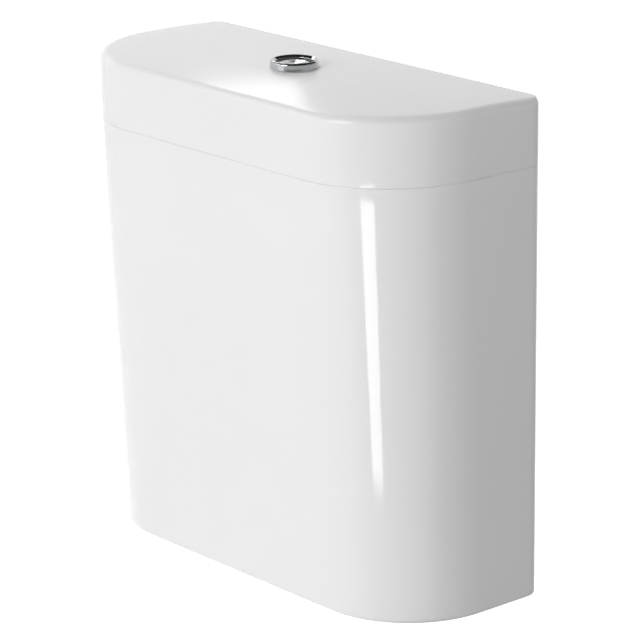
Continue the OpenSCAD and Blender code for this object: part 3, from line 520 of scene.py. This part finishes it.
class Value:
    """A node's output that takes part in sums: each expression adds its Math nodes."""

    def __init__(self, graph, socket):
        self.graph = graph
        self.socket = socket

    def out(self, name):
        """Another output of the same node."""
        return Value(self.graph, self.socket.node.outputs[name])

    def math(self, operation, *values):
        """A Math node on this and further values."""
        return self.graph.math(operation, self, *values)

    def __add__(self, other):
        return self.math("ADD", other)

    def __sub__(self, other):
        return self.math("SUBTRACT", other)

    def __mul__(self, other):
        return self.math("MULTIPLY", other)

    def __truediv__(self, other):
        return self.math("DIVIDE", other)

    def __pow__(self, other):
        return self.math("POWER", other)

    def __gt__(self, other):
        return self.math("GREATER_THAN", other)

    def __lt__(self, other):
        return self.math("LESS_THAN", other)

    def __rsub__(self, other):
        return self.graph.math("SUBTRACT", other, self)

    def __rtruediv__(self, other):
        return self.graph.math("DIVIDE", other, self)

    def __abs__(self):
        return self.math("ABSOLUTE")

    __radd__ = __add__
    __rmul__ = __mul__


class Graph:
    """A node tree that is written as expressions."""

    def __init__(self, tree):
        self.tree = tree
        tree.nodes.clear()

    def node(self, kind, settings=None, sockets=None, output=0):
        """A node of a type, with its settings and its sockets' values or links; gives an output."""
        made = self.tree.nodes.new(kind)
        for name, value in (settings or {}).items():
            setattr(made, name, value)
        for key, value in (sockets or {}).items():
            if isinstance(value, Value):
                self.tree.links.new(value.socket, made.inputs[key])
            else:
                made.inputs[key].default_value = value
        return Value(self, made.outputs[output]) if made.outputs else made

    def math(self, operation, *values):
        """A Math node on values or numbers."""
        return self.node("ShaderNodeMath", {"operation": operation}, dict(enumerate(values)))

    def split(self, vector):
        """The three parts of a vector."""
        parts = self.node("ShaderNodeSeparateXYZ", sockets={"Vector": vector})
        return parts, parts.out("Y"), parts.out("Z")

    def fade(self, value, low, high, start=0.0, end=1.0):
        """A value that eases from start to end between two bounds."""
        return self.node(
            "ShaderNodeMapRange",
            {"interpolation_type": "SMOOTHSTEP"},
            {"Value": value, "From Min": low, "From Max": high, "To Min": start, "To Max": end},
        )

    def blend(self, factor, first, second):
        """A colour between two colours."""
        colours = [c if isinstance(c, Value) else (*c, 1.0) for c in (first, second)]
        return self.node(
            "ShaderNodeMix", {"data_type": "RGBA"}, {0: factor, 6: colours[0], 7: colours[1]}, 2
        )


class Paint(Graph):
    """A material made of nodes."""

    def __init__(self, name):
        self.material = bpy.data.materials.new(name)
        self.material.use_nodes = True
        super().__init__(self.material.node_tree)

    def close(self, shader):
        """Ends the tree in a shader and gives the material."""
        self.node("ShaderNodeOutputMaterial", sockets={"Surface": shader})
        return self.material


class Finish(Paint):
    """The material of a piece, on the piece's own coordinates."""

    def __init__(self, name):
        super().__init__(name)
        self.place = self.node("ShaderNodeTexCoord", output="Object")

    def noise(self, scale, detail=2.0, stretch=None):
        """Cloudy noise over the piece, stretched along an axis if asked."""
        place = self.place
        if stretch:
            place = self.node("ShaderNodeMapping", sockets={"Vector": place, "Scale": stretch})
        return self.node(
            "ShaderNodeTexNoise", sockets={"Vector": place, "Scale": scale, "Detail": detail}
        )

    def bump(self, height, distance):
        """A surface normal that follows a height of 0 to 1 over a distance."""
        return self.node("ShaderNodeBump", sockets={"Distance": distance, "Height": height})

    def surface(self, **sockets):
        """The surface shader, its sockets named with underscores for spaces; gives the material."""
        named = {name.replace("_", " "): value for name, value in sockets.items()}
        return self.close(self.node("ShaderNodeBsdfPrincipled", sockets=named))


def toned(rgb, factor):
    """A colour made darker or lighter."""
    return tuple(min(1.0, part * factor) for part in rgb)


# Heights between which the bare foot turns into glaze, and reach below and above the lid's edge over which the
# glaze turns duller
BARE_Z = (0.0004, 0.0012)
DULL_BELOW, DULL_ABOVE = 0.0008, 0.0002


def glazed_ceramic(colours):
    """White glaze: broad waves, fine orange peel, rare pinholes, a duller top and a bare foot."""
    finish = Finish("glazed_ceramic")
    _, _, z = finish.split(finish.place)
    waves = finish.noise(14.0, 1.0)
    peel = finish.noise(420.0, 2.0)
    drift = finish.fade(finish.noise(7.0, 3.0), 0.3, 0.7)
    pinholes = finish.fade(finish.noise(1300.0, 0.0), 0.83, 0.86)
    bare = finish.fade(z, *BARE_Z, 1.0, 0.0)
    brow_z = CROWN_Z - bpy.context.scene.cistern_ceramic.lid_rise
    top = finish.fade(z, brow_z - DULL_BELOW, brow_z + DULL_ABOVE)
    white = finish.blend(drift, toned(colours.glaze, 0.985), toned(colours.glaze, 1.0))
    speckled = finish.blend(pinholes * 0.25, white, toned(colours.biscuit, 0.7))
    body = finish.blend(finish.noise(900.0, 4.0), toned(colours.biscuit, 0.9), colours.biscuit)
    grit = finish.noise(1500.0, 3.0) * bare
    height = waves * 0.6 + peel * 0.05 + grit * 0.1 - pinholes * 0.05
    return finish.surface(
        Base_Color=finish.blend(bare, speckled, body),
        Roughness=0.05 + drift * 0.03 + top * 0.17 + bare * 0.6,
        Normal=finish.bump(height, 0.0006),
        IOR=1.5,
    )


def plated_chrome(colours):
    """Mirror chrome with faint wiping smears and fine scratches."""
    finish = Finish("plated_chrome")
    smears = finish.fade(finish.noise(180.0, 3.0), 0.45, 0.75)
    scratches = finish.noise(2600.0, 2.0, (1.0, 0.06, 1.0))
    tone = finish.blend(smears, colours.chrome, toned(colours.chrome, 0.93))
    return finish.surface(
        Base_Color=tone,
        Metallic=1.0,
        Roughness=0.045 + smears * 0.06,
        Normal=finish.bump(scratches, 0.000004),
    )


def moulded_plastic(name, rgb, gloss):
    """Injection-moulded plastic: flow mottling and a fine spark-eroded grain."""
    finish = Finish(name)
    flow = finish.noise(60.0, 3.0, (1.0, 1.0, 0.35))
    grain = finish.noise(2200.0, 3.0)
    rubs = finish.fade(finish.noise(240.0, 4.0), 0.52, 0.72)
    tone = finish.blend(flow, toned(rgb, 0.93), toned(rgb, 1.05))
    return finish.surface(
        Base_Color=finish.blend(rubs * 0.12, tone, toned(rgb, 1.15)),
        Roughness=gloss + rubs * 0.1 + grain * 0.06,
        Normal=finish.bump(grain * 0.6 + flow * 0.4, 0.00003),
        IOR=1.48,
    )


def moulded_rubber(colours):
    """Black rubber with a grey bloom and a matt grain."""
    finish = Finish("moulded_rubber")
    bloom = finish.fade(finish.noise(90.0, 4.0), 0.5, 0.8)
    grain = finish.noise(1800.0, 4.0)
    return finish.surface(
        Base_Color=finish.blend(bloom, colours.rubber, toned(colours.rubber, 4.0)),
        Roughness=0.62 + bloom * 0.2,
        Normal=finish.bump(grain, 0.00005),
    )


def plated_steel(colours):
    """Zinc-plated steel: turning lines, cloudy passivation and dull spots."""
    finish = Finish("plated_steel")
    lines = finish.noise(900.0, 3.0, (0.15, 0.15, 3.0))
    clouds = finish.fade(finish.noise(160.0, 4.0), 0.35, 0.7)
    warm = (colours.steel[0], colours.steel[1] * 0.97, colours.steel[2] * 0.88)
    return finish.surface(
        Base_Color=finish.blend(clouds, colours.steel, warm),
        Metallic=1.0,
        Roughness=0.24 + clouds * 0.14 + lines * 0.08,
        Normal=finish.bump(lines, 0.00002),
    )


FINISHES = {}
FINISH_MAKERS = {
    "ceramic": glazed_ceramic,
    "chrome": plated_chrome,
    "rubber": moulded_rubber,
    "steel": plated_steel,
}
# Roughness of the plastics, by colour
PLASTIC_GLOSS = {"white": 0.28, "grey": 0.38, "blue": 0.3, "green": 0.3}


def finish_for(slot):
    """The finish of a material slot, made on first use."""
    colours = bpy.context.scene.cistern_colours
    if slot not in FINISHES:
        if slot in FINISH_MAKERS:
            FINISHES[slot] = FINISH_MAKERS[slot](colours)
        else:
            hue = slot.removesuffix("_plastic")
            FINISHES[slot] = moulded_plastic(slot + "_finish", getattr(colours, hue), PLASTIC_GLOSS[hue])
    return FINISHES[slot]


class Growth(Graph):
    """A geometry tree with named inputs, which ends in one realized mesh with its finish."""

    def __init__(self, name, inputs):
        super().__init__(bpy.data.node_groups.new(name, "GeometryNodeTree"))
        self.tree.interface.new_socket(name="Geometry", in_out="OUTPUT", socket_type="NodeSocketGeometry")
        for label, kind in [("Geometry", "Geometry"), *inputs, ("Finish", "Material")]:
            self.tree.interface.new_socket(
                name=label, in_out="INPUT", socket_type="NodeSocket" + kind
            )
        self.given = self.node("NodeGroupInput")

    def take(self, *names):
        """The named inputs of the tree."""
        return [self.given.out(name) for name in names]

    def coil(self, radius, turns, height, points):
        """A coil on the origin, with a number of points in a turn."""
        return self.node("GeometryNodeCurveSpiral", sockets={
            "Resolution": points, "Rotations": turns, "Start Radius": radius, "End Radius": radius,
            "Height": height,
        })

    def sweep(self, curve, radius, sides):
        """A closed bar along a curve, with a section of a number of sides."""
        section = self.node(
            "GeometryNodeCurvePrimitiveCircle", sockets={"Resolution": sides, "Radius": radius}
        )
        return self.node("GeometryNodeCurveToMesh", sockets={
            "Curve": curve, "Profile Curve": section, "Fill Caps": True,
        })

    def end(self, geometry):
        """Closes the tree with realized instances and the finish."""
        whole = self.node("GeometryNodeRealizeInstances", sockets={"Geometry": geometry})
        painted = self.node(
            "GeometryNodeSetMaterial", sockets={"Geometry": whole, "Material": self.given.out("Finish")}
        )
        self.node("NodeGroupOutput", sockets={"Geometry": painted})
        return self.tree


def grow(piece, tree, finish, values):
    """Runs a tree on a piece with its named inputs set, and keeps the result as a plain mesh."""
    modifier = piece.modifiers.new(tree.name, "NODES")
    modifier.node_group = tree
    values = {**values, "Finish": finish}
    for item in tree.interface.items_tree:
        if item.in_out == "INPUT" and item.name in values:
            modifier[item.identifier] = values[item.name]
    settle(piece)


def grown(name, tree, finish, values):
    """A piece that a tree makes from nothing."""
    piece = link(name, bpy.data.meshes.new(name))
    grow(piece, tree, finish, values)
    return piece


# Shares of the half width over which the lid's side edges rise, and of the depth over which they fall again
SIDE_RAISE_X, SIDE_RAISE_Y = (0.5, 0.84), (0.35, 0.95)
# How steeply the dome falls to its edge: 1 is straight
DOME_POWER = 1.25


def domed_top_tree():
    """Raises a level top into a dome over a D-shaped outline, flat in the middle and raised at its sides."""
    names = ("Half width", "Front", "Back", "Corner", "From height", "Rise", "Flat share", "Side raise")
    growth = Growth("Domed top", [(name, "Float") for name in names])
    half, front, back, corner, from_z, rise, flat, raised_side = growth.take(*names)
    x, y, z = growth.split(growth.node("GeometryNodeInputPosition"))
    ahead = (front + corner - y).math("MAXIMUM", 0.0)
    chord = (corner * corner - ahead * ahead).math("MAXIMUM", 0.0).math("SQRT")
    across = x / (half - corner + chord)
    along = (y * 2 - front - back) / (back - front)
    high = (1 - across * across).math("MAXIMUM", 0.0) * (1 - along * along).math("MAXIMUM", 0.0)
    way = (high / flat).math("MINIMUM", 1.0)
    side = growth.fade(abs(x) / half, *SIDE_RAISE_X) * growth.fade(y / back, *SIDE_RAISE_Y, 1.0, 0.0)
    lift = rise - (rise - side * raised_side) * (1 - way) ** DOME_POWER
    offset = growth.node("ShaderNodeCombineXYZ", sockets={"Z": lift})
    raised = growth.node(
        "GeometryNodeSetPosition",
        sockets={"Geometry": growth.given.out("Geometry"), "Selection": z > from_z, "Offset": offset},
    )
    return growth.end(raised)


def spring_tree():
    """A wire coil on a foot, whose end turns close up."""
    names = ("Coil radius", "Wire radius", "Turns", "Height", "Close")
    growth = Growth("Return spring", [(name, "Float") for name in names] + [("Foot", "Vector")])
    radius, wire, turns, height, close, foot = growth.take(*names, "Foot")
    spiral = growth.coil(radius, turns, height, SPRING_POINTS)
    _, _, z = growth.split(growth.node("GeometryNodeInputPosition"))
    eased = growth.fade(z / height, 0.0, 1.0) * height
    offset = growth.node("ShaderNodeCombineXYZ", sockets={"Z": (eased - z) * close})
    coil = growth.node("GeometryNodeSetPosition", sockets={"Geometry": spiral, "Offset": offset})
    swept = growth.sweep(coil, wire, WIRE_SIDES)
    placed = growth.node(
        "GeometryNodeTransform", sockets={"Geometry": swept, "Translation": foot}
    )
    smooth = growth.node("GeometryNodeSetShadeSmooth", sockets={"Geometry": placed})
    return growth.end(smooth)


def thread_tree():
    """A pointed ridge wound round a rod, repeated along X."""
    names = ("Radius", "Depth", "Turns", "Length", "Spacing")
    inputs = [(name, "Float") for name in names] + [("Count", "Int"), ("Foot", "Vector")]
    growth = Growth("Screw thread", inputs)
    radius, depth, turns, run_length, spacing, count, foot = growth.take(*names, "Count", "Foot")
    ridge = growth.sweep(growth.coil(radius, turns, run_length, THREAD_POINTS), depth, RIDGE_SIDES)
    step = growth.node("ShaderNodeCombineXYZ", sockets={"X": spacing})
    row = growth.node(
        "GeometryNodeMeshLine", sockets={"Count": count, "Start Location": foot, "Offset": step}
    )
    copies = growth.node(
        "GeometryNodeInstanceOnPoints", sockets={"Points": row, "Instance": ridge}
    )
    return growth.end(copies)


def middle(node):
    """The middle of a node's box."""
    low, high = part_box(node)
    return (low + high) / 2


def bolt_spacing():
    """Distance between the coupling bolts' axes, from the box over their two hexagon nuts."""
    low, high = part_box("bolt_nuts")
    return (high.x - low.x) - (high.y - low.y) / cos(radians(30))


class CISTERN_OT_make_tank(bpy.types.Operator):
    """Make the glazed ceramic tank with its rounded floor and drilled holes"""

    bl_idname = "cistern.make_tank"
    bl_label = "Make tank"

    def execute(self, context):
        sizes = context.scene.cistern_ceramic
        tank = skin("ceramic_tank", tank_rings(sizes))
        inlet = middle("inlet_washer")
        places = [(side * bolt_spacing() / 2, 0.0, sizes.bolt_hole_r) for side in (-1, 1)]
        places.append((inlet.x, inlet.y, sizes.inlet_hole_r))
        past = FLOOR_Z - UNDER_Z
        combine(tank, posts("drills", places, UNDER_Z - past, FLOOR_Z + past), "DIFFERENCE")
        seat = [(0.0, 0.0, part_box("coupling_gasket")[1].x + sizes.seat_play)]
        combine(tank, posts("seat", seat, -past, UNDER_Z + OVERCUT), "DIFFERENCE")
        soften(tank)
        dress(tank, finish_for("ceramic"), "cistern", "ceramic", "tank")
        return {"FINISHED"}


class CISTERN_OT_make_lid(bpy.types.Operator):
    """Make the deep glazed lid with its domed top, button hole and locating lugs"""

    bl_idname = "cistern.make_lid"
    bl_label = "Make lid"

    def execute(self, context):
        sizes = context.scene.cistern_ceramic
        finish = finish_for("ceramic")
        lid = skin("ceramic_lid", lid_rings(sizes))
        grow(lid, domed_top_tree(), finish, {
            "Half width": HALF_WIDTH, "Front": FRONT, "Back": BACK, "Corner": sizes.corner_r,
            "From height": CROWN_Z - sizes.lid_rise - sizes.lid_edge_r, "Rise": sizes.lid_rise,
            "Flat share": sizes.flat_share, "Side raise": sizes.side_raise,
        })
        combine(lid, lugs(sizes), "UNION")
        soften(lid)
        dress(lid, finish, "lid", "ceramic", "lid")
        return {"FINISHED"}


class CISTERN_OT_make_bezel(bpy.types.Operator):
    """Make the chrome ring round the button"""

    bl_idname = "cistern.make_bezel"
    bl_label = "Make chrome ring"

    def execute(self, context):
        sizes = context.scene.cistern_button
        low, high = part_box("button_bezel")
        outer = high.x
        round_r = sizes.ring_round
        top = arc(outer - sizes.ring_draft - round_r, high.z - round_r, round_r, 0, 100, RING_STEPS)
        lip_r = sizes.face_edge
        lip = arc(sizes.ring_inner_r + lip_r, high.z - sizes.ring_dip - lip_r, lip_r, 110, 180, LIP_STEPS)
        seat_z = low.z + sizes.ring_seat
        foot = [(outer - sizes.ring_foot, seat_z), (outer - sizes.ring_foot, low.z),
                (outer, low.z)]
        ring = lathe("chrome_ring", top + lip + [(sizes.ring_inner_r, seat_z)] + foot)
        soften(ring)
        dress(ring, finish_for("chrome"), "lid", "chrome", "button_bezel")
        return {"FINISHED"}


class CISTERN_OT_make_buttons(bpy.types.Operator):
    """Make the two dished halves of the split button"""

    bl_idname = "cistern.make_buttons"
    bl_label = "Make buttons"

    def cap(self, name, sizes, radius, low, high):
        """The whole round button before it is split."""
        rim = radius - sizes.face_edge - sizes.dish_rim
        face = []
        for i in range(DISH_STEPS + 1):
            r = rim * (1 - i / DISH_STEPS)
            face.append((r, high - sizes.dish * (1 - (r / rim) ** 2) ** 2))
        edge = arc(radius - sizes.face_edge, high - sizes.face_edge, sizes.face_edge, 0, 90, LIP_STEPS)
        cap_z = high - sizes.cap
        inner = radius - sizes.skirt
        return lathe(name, edge + face + [(0.0, cap_z), (inner, cap_z), (inner, low), (radius, low)])

    def split(self, piece, x, side, edge_r):
        """Cuts away what lies past the split, closes the cut and rounds its edges."""
        shape = bmesh.new()
        shape.from_mesh(piece.data)
        cut = bmesh.ops.bisect_plane(
            shape, geom=shape.verts[:] + shape.edges[:] + shape.faces[:], plane_co=(x, 0, 0),
            plane_no=(side, 0, 0), clear_inner=True, dist=WELD,
        )
        edges = [item for item in cut["geom_cut"] if isinstance(item, bmesh.types.BMEdge)]
        closed = bmesh.ops.contextual_create(shape, geom=edges)
        if not closed["faces"]:
            raise RuntimeError(f"the split of {piece.name} was not closed")
        face = closed["faces"][0]
        bmesh.ops.recalc_face_normals(shape, faces=shape.faces)
        bmesh.ops.bevel(shape, geom=list(face.edges), offset=edge_r, segments=2, profile=0.5,
                        affect="EDGES", clamp_overlap=True)
        shape.to_mesh(piece.data)
        shape.free()

    def execute(self, context):
        sizes = context.scene.cistern_button
        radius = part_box("full_button")[1].x
        for name, node, rod, side in (("full_flush_button", "full_button", "full_push_rod", 1),
                                      ("half_flush_button", "half_button", "half_push_rod", -1)):
            low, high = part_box(node)
            x = middle(rod).x
            cap_z = high.z - sizes.cap
            button = self.cap(name, sizes, radius, cap_z - sizes.skirt_h, high.z)
            self.split(button, low.x if side > 0 else high.x, side, sizes.split_edge)
            stem = posts("stem", [(x, 0.0, sizes.stem_r)], low.z, cap_z + sizes.stem_sink)
            combine(button, stem, "UNION")
            bore = posts("bore", [(x, 0.0, sizes.stem_bore_r)], low.z - sizes.cap,
                         cap_z - sizes.stem_roof)
            combine(button, bore, "DIFFERENCE")
            soften(button)
            dress(button, finish_for("chrome"), node, "chrome", node)
        return {"FINISHED"}


class CISTERN_OT_make_springs(bpy.types.Operator):
    """Make the two return springs under the buttons"""

    bl_idname = "cistern.make_springs"
    bl_label = "Make return springs"

    def execute(self, context):
        sizes = context.scene.cistern_hardware
        finish = finish_for("steel")
        tree = spring_tree()
        wire_r = sizes.spring_wire / 2
        for name, node, joint in (("full_return_spring", "full_button_spring", "full_press"),
                                  ("half_return_spring", "half_button_spring", "half_press")):
            low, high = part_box(node)
            axis = middle(node)
            tall = high.z - low.z
            spring = grown(name, tree, finish, {
                "Coil radius": (high.y - low.y) / 2 - wire_r, "Wire radius": wire_r,
                "Turns": sizes.spring_turns, "Height": tall - 2 * wire_r,
                "Close": sizes.spring_close, "Foot": (axis.x, axis.y, low.z + wire_r),
            })
            dress(spring, finish, "lid", "steel", node)
            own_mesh(spring)
        return {"FINISHED"}


class CISTERN_OT_make_threads(bpy.types.Operator):
    """Wind the threads of the bolts, tail, spigot, rods and button housing"""

    bl_idname = "cistern.make_threads"
    bl_label = "Make threads"

    def execute(self, context):
        sizes = context.scene.cistern_hardware
        tree = thread_tree()
        end = sizes.thread_end

        def wind(name, body, slot, axis, low, high, radius, depth, pitch, count=1, spacing=0.0):
            """Winds a thread round an upright axis between two heights, and copies it along X."""
            finish = finish_for(slot)
            piece = grown(name, tree, finish, {
                "Radius": radius, "Depth": depth, "Turns": (high - low) / pitch, "Length": high - low,
                "Spacing": spacing, "Count": count, "Foot": (axis.x, axis.y, low),
            })
            dress(piece, finish, body, slot)

        def foot(node):
            """The height of a node's lower end."""
            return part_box(node)[0].z

        outlet = Vector()
        spacing = bolt_spacing()
        wind("bolt_threads", "cistern", "steel", Vector((-spacing / 2, 0.0)), foot("coupling_bolts") + end,
             foot("bolt_nuts") - end, sizes.bolt_r, sizes.ridge, sizes.bolt_pitch, 2, spacing)
        wind("tail_thread", "cistern", "white_plastic", middle("inlet_nut"), foot("fill_valve_body") + end,
             foot("inlet_nut") - end, sizes.tail_r, sizes.ridge, sizes.tail_pitch)
        wind("spigot_thread", "cistern", "white_plastic", outlet, foot("valve_base") + 2 * end,
             foot("valve_backnut") - end, sizes.spigot_r, sizes.ridge, sizes.spigot_pitch)
        wind("housing_thread", "lid", "grey_plastic", outlet, foot("button_housing") + end,
             foot("button_nut") - end, sizes.housing_r, sizes.ridge, sizes.housing_pitch)
        for flush in ("full", "half"):
            low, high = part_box(flush + "_push_rod")
            wind(flush + "_rod_thread", flush + "_button", "white_plastic", (low + high) / 2, low.z + end,
                 foot("button_housing") - sizes.rod_guide - end, (high.x - low.x) / 2, sizes.rod_ridge,
                 sizes.rod_pitch)
        wind("float_rod_thread", "float", "grey_plastic", middle("level_clip"),
             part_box("level_clip")[1].z + end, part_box("float_rod")[1].z - sizes.float_rod_top,
             sizes.float_rod_r, sizes.float_ridge, sizes.rod_pitch)
        return {"FINISHED"}


class CISTERN_OT_finish_fittings(bpy.types.Operator):
    """Give every fitting that keeps its own solid the finish of its material slot"""

    bl_idname = "cistern.finish_fittings"
    bl_label = "Finish fittings"

    def execute(self, context):
        for part in frame["record"]["subparts"]:
            node = frame["nodes"][part["node"]]
            for slot in node.material_slots:
                slot.material = finish_for(part["material_slot"])
        return {"FINISHED"}


def toward(azimuth, elevation):
    """The direction at an azimuth from the front, positive to the right, and an elevation."""
    return Vector((sin(azimuth) * cos(elevation), -cos(azimuth) * cos(elevation), sin(elevation)))


def card(name, aim, distance, strength, corners):
    """A glowing panel that shows only in reflections; a corner is an azimuth and elevation in degrees."""
    shape = bmesh.new()
    places = [aim + toward(radians(turn), radians(height)) * distance for turn, height in corners]
    shape.faces.new([shape.verts.new(place) for place in places])
    panel = from_bmesh(name, shape)
    paint = Paint(name + "_glow")
    first = paint.node("ShaderNodeLightPath").out("Ray Depth") < 1.5
    glow = paint.node("ShaderNodeEmission", sockets={"Strength": first * strength})
    panel.data.materials.append(paint.close(glow))
    panel.visible_camera = False
    panel.visible_diffuse = False
    panel.visible_shadow = False
    panel.visible_transmission = False


# Side of the square image in pixels and width of the sensor in millimetres
IMAGE_SIZE = 640
SENSOR = 36.0
# Half the side of the floor
FLOOR_REACH = 30.0
# Pale paint of the floor, its dark paint, which is painted shade that only bounced light sees, and what it
# glows by itself to the eye
FLOOR_PALE, FLOOR_SHADE_PAINT, FLOOR_GLOW = (0.8, 0.8, 0.8), (0.06, 0.06, 0.06), 0.8
# Where the floor's dark paint of painted shade sets in to the right and to the back, and where and how far its
# mirror image dims
SHADE_X, SHADE_Y = (0.05, 0.3), (-0.45, -0.1)
DIM_X, DIM = (0.0, 0.4), (0.75, 0.3)
# Parts of a direction between which the surroundings change: where their mirror image ends overhead and dims to
# the right, where the low light ends, and where the light from the sides, the front and the back starts
DOME_Z, DUSK_X, LOW_Z = (0.40, 0.52), (-0.1, 0.2), (0.05, 0.5)
ASIDE, FRONTWARD = (0.3, 0.95), (-0.95, -0.3)
# What is left of the mirror image overhead and to the right
DOME_DARK, DUSK_DARK = 0.03, 0.3


class CISTERN_OT_make_stage(bpy.types.Operator):
    """Set up the pale floor, the soft light and the camera"""

    bl_idname = "cistern.make_stage"
    bl_label = "Make stage"

    def camera(self, scene, stage):
        """The camera, placed so that the aim point falls on its pixel."""
        back = toward(stage.azimuth, stage.elevation)
        level = Vector((cos(stage.azimuth), sin(stage.azimuth), 0.0))
        upright = back.cross(level)
        right = level * cos(stage.roll) + upright * sin(stage.roll)
        up = upright * cos(stage.roll) - level * sin(stage.roll)
        data = bpy.data.cameras.new("camera")
        data.lens = stage.lens
        data.sensor_width = SENSOR
        data.clip_start = 0.1
        data.clip_end = 100.0
        pixel = stage.distance * SENSOR / (stage.lens * IMAGE_SIZE)
        aim = Vector((0.0, stage.aim_y, stage.aim_z))
        place = aim + back * stage.distance
        place -= right * (stage.aim_u - IMAGE_SIZE / 2) * pixel
        place += up * (stage.aim_v - IMAGE_SIZE / 2) * pixel
        camera = bpy.data.objects.new("camera", data)
        camera.matrix_world = Matrix.Translation(place) @ Matrix((right, up, back)).transposed().to_4x4()
        scene.collection.objects.link(camera)
        scene.camera = camera

    def floor(self, stage):
        """A wide floor below the cistern, white to the eye; painted shade darkens it to the right and back for
        bounced light, and its mirror image darkens there too.
        """
        shape = bmesh.new()
        bmesh.ops.create_grid(shape, x_segments=1, y_segments=1, size=FLOOR_REACH,
                              matrix=Matrix.Translation((0, 0, -stage.floor_drop)))
        floor = from_bmesh("floor", shape)
        paint = Finish("floor_white")
        path = paint.node("ShaderNodeLightPath")
        x, y, _ = paint.split(paint.place)
        shade = paint.fade(x, *SHADE_X) * paint.fade(y, *SHADE_Y)
        eye = path.out("Is Camera Ray") + path.out("Is Transmission Ray")
        mirror = path.out("Is Glossy Ray") * paint.fade(x, *DIM_X, *DIM)
        # Painted shade: away from the eye the floor is painted dark to the right and back, so less light
        # bounces onto the cistern's lower right edges
        tone = paint.blend(shade * (1 - eye), FLOOR_PALE, FLOOR_SHADE_PAINT)
        matt = paint.node("ShaderNodeBsdfDiffuse", sockets={"Color": tone})
        glow = paint.node(
            "ShaderNodeEmission", sockets={"Strength": eye * FLOOR_GLOW + mirror * (1 - shade)}
        )
        both = paint.node("ShaderNodeAddShader", sockets={0: matt, 1: glow})
        floor.data.materials.append(paint.close(both))

    def world(self, scene, stage):
        """Light from low down; white to the eye, and in reflections white low down and dark overhead."""
        world = bpy.data.worlds.new("studio")
        world.use_nodes = True
        scene.world = world
        sky = Graph(world.node_tree)
        path = sky.node("ShaderNodeLightPath")
        eye = path.out("Is Camera Ray") + path.out("Is Transmission Ray")
        mirror = path.out("Is Glossy Ray")
        x, y, z = sky.split(sky.node("ShaderNodeTexCoord", output="Generated"))
        dome = sky.fade(z, *DOME_Z, 1.0, DOME_DARK)
        dusk = sky.fade(x, *DUSK_X, 1.0, DUSK_DARK)
        low = sky.fade(z, *LOW_Z, 1.0, 0.0)
        ends = sky.fade(y, *FRONTWARD, stage.front, 0.0) + sky.fade(y, *ASIDE, 0.0, stage.back)
        sides = stage.ambient + sky.fade(x, *ASIDE, 0.0, stage.right) + ends
        soft = low * sides + (1 - low) * stage.zenith
        strength = eye + mirror * dome * dusk + (1 - eye - mirror) * soft
        light = sky.node("ShaderNodeBackground", sockets={"Strength": strength})
        sky.node("ShaderNodeOutputWorld", sockets={"Surface": light})

    def lamp(self, scene, name, aim, turn, height, distance, size, power):
        """A soft square light that is aimed at a point and leaves no mirror image."""
        data = bpy.data.lights.new(name, "AREA")
        data.energy = power
        data.size = size
        lamp = bpy.data.objects.new(name, data)
        lamp.location = aim + toward(turn, height) * distance
        lamp.rotation_mode = "QUATERNION"
        lamp.rotation_quaternion = (aim - lamp.location).to_track_quat("-Z", "Y")
        lamp.visible_camera = False
        lamp.visible_glossy = False
        scene.collection.objects.link(lamp)

    def execute(self, context):
        scene = context.scene
        stage = scene.cistern_stage
        self.camera(scene, stage)
        self.floor(stage)
        self.world(scene, stage)
        centre = Vector((0.0, 0.0, stage.aim_z))
        self.lamp(scene, "key", centre, 0.0, stage.key_height, stage.key_distance, stage.key_size,
                  stage.key)
        self.lamp(scene, "top", centre, stage.top_turn, stage.top_height, stage.top_distance,
                  stage.top_size, stage.top)
        corner = Vector((0.16, -0.06, 0.24))
        front_edge = Vector((0.05, FRONT, CROWN_Z))
        dome_front = Vector((0.03, -0.06, CROWN_Z))
        # Each card's aim, distance, strength and corners
        cards = {
            "key_card": (centre, 2.4, 4.5, [(-14, 8), (14, 8), (14, 36), (-14, 36)]),
            "strip_card": (corner, 1.3, 7.0, [(17, -12.2), (31.5, -12.2), (26.5, -28.5), (15.5, -28.5)]),
            "left_card": (front_edge, 1.6, 1.7, [(-66, 18), (-66, 38), (-30, 38), (-30, 18)]),
            "top_card": (dome_front, 0.35, 3.4, [(-134.3, 15.5), (-134.3, 27), (-114, 27), (-118, 20)]),
        }
        for name, shape in cards.items():
            card(name, *shape)
        scene.view_settings.view_transform = "Standard"
        return {"FINISHED"}


STEPS = (
    CISTERN_OT_make_stage,
    CISTERN_OT_make_tank,
    CISTERN_OT_make_lid,
    CISTERN_OT_make_bezel,
    CISTERN_OT_make_buttons,
    CISTERN_OT_make_springs,
    CISTERN_OT_make_threads,
    CISTERN_OT_finish_fittings,
)


class CISTERN_PT_pieces(bpy.types.Panel):
    """Lists the pieces and their sizes"""

    bl_idname = "CISTERN_PT_pieces"
    bl_label = "Cistern"
    bl_space_type = "VIEW_3D"
    bl_region_type = "UI"
    bl_category = "Cistern"

    def draw(self, context):
        for step in STEPS:
            self.layout.operator(step.bl_idname)
        for name in GROUPS:
            group = getattr(context.scene, name)
            box = self.layout.box()
            for field in group.bl_rna.properties:
                if field.identifier not in ("name", "rna_type"):
                    box.prop(group, field.identifier)


GROUPS = {
    "cistern_ceramic": CeramicSizes,
    "cistern_button": ButtonSizes,
    "cistern_hardware": HardwareSizes,
    "cistern_colours": Colours,
    "cistern_stage": StageSettings,
}


def register():
    """Registers the property groups, the operators and the panel."""
    for name, group in GROUPS.items():
        bpy.utils.register_class(group)
        setattr(bpy.types.Scene, name, bpy.props.PointerProperty(type=group))
    for step in STEPS:
        bpy.utils.register_class(step)
    bpy.utils.register_class(CISTERN_PT_pieces)


def unregister():
    """Takes the panel, the operators and the property groups out again."""
    bpy.utils.unregister_class(CISTERN_PT_pieces)
    for step in reversed(STEPS):
        bpy.utils.unregister_class(step)
    for name, group in reversed(GROUPS.items()):
        delattr(bpy.types.Scene, name)
        bpy.utils.unregister_class(group)


def main():
    """Builds the stage and every piece."""
    register()
    for step in STEPS:
        _, name = step.bl_idname.split(".")
        getattr(bpy.ops.cistern, name)()


if __name__ == "__main__":
    main()
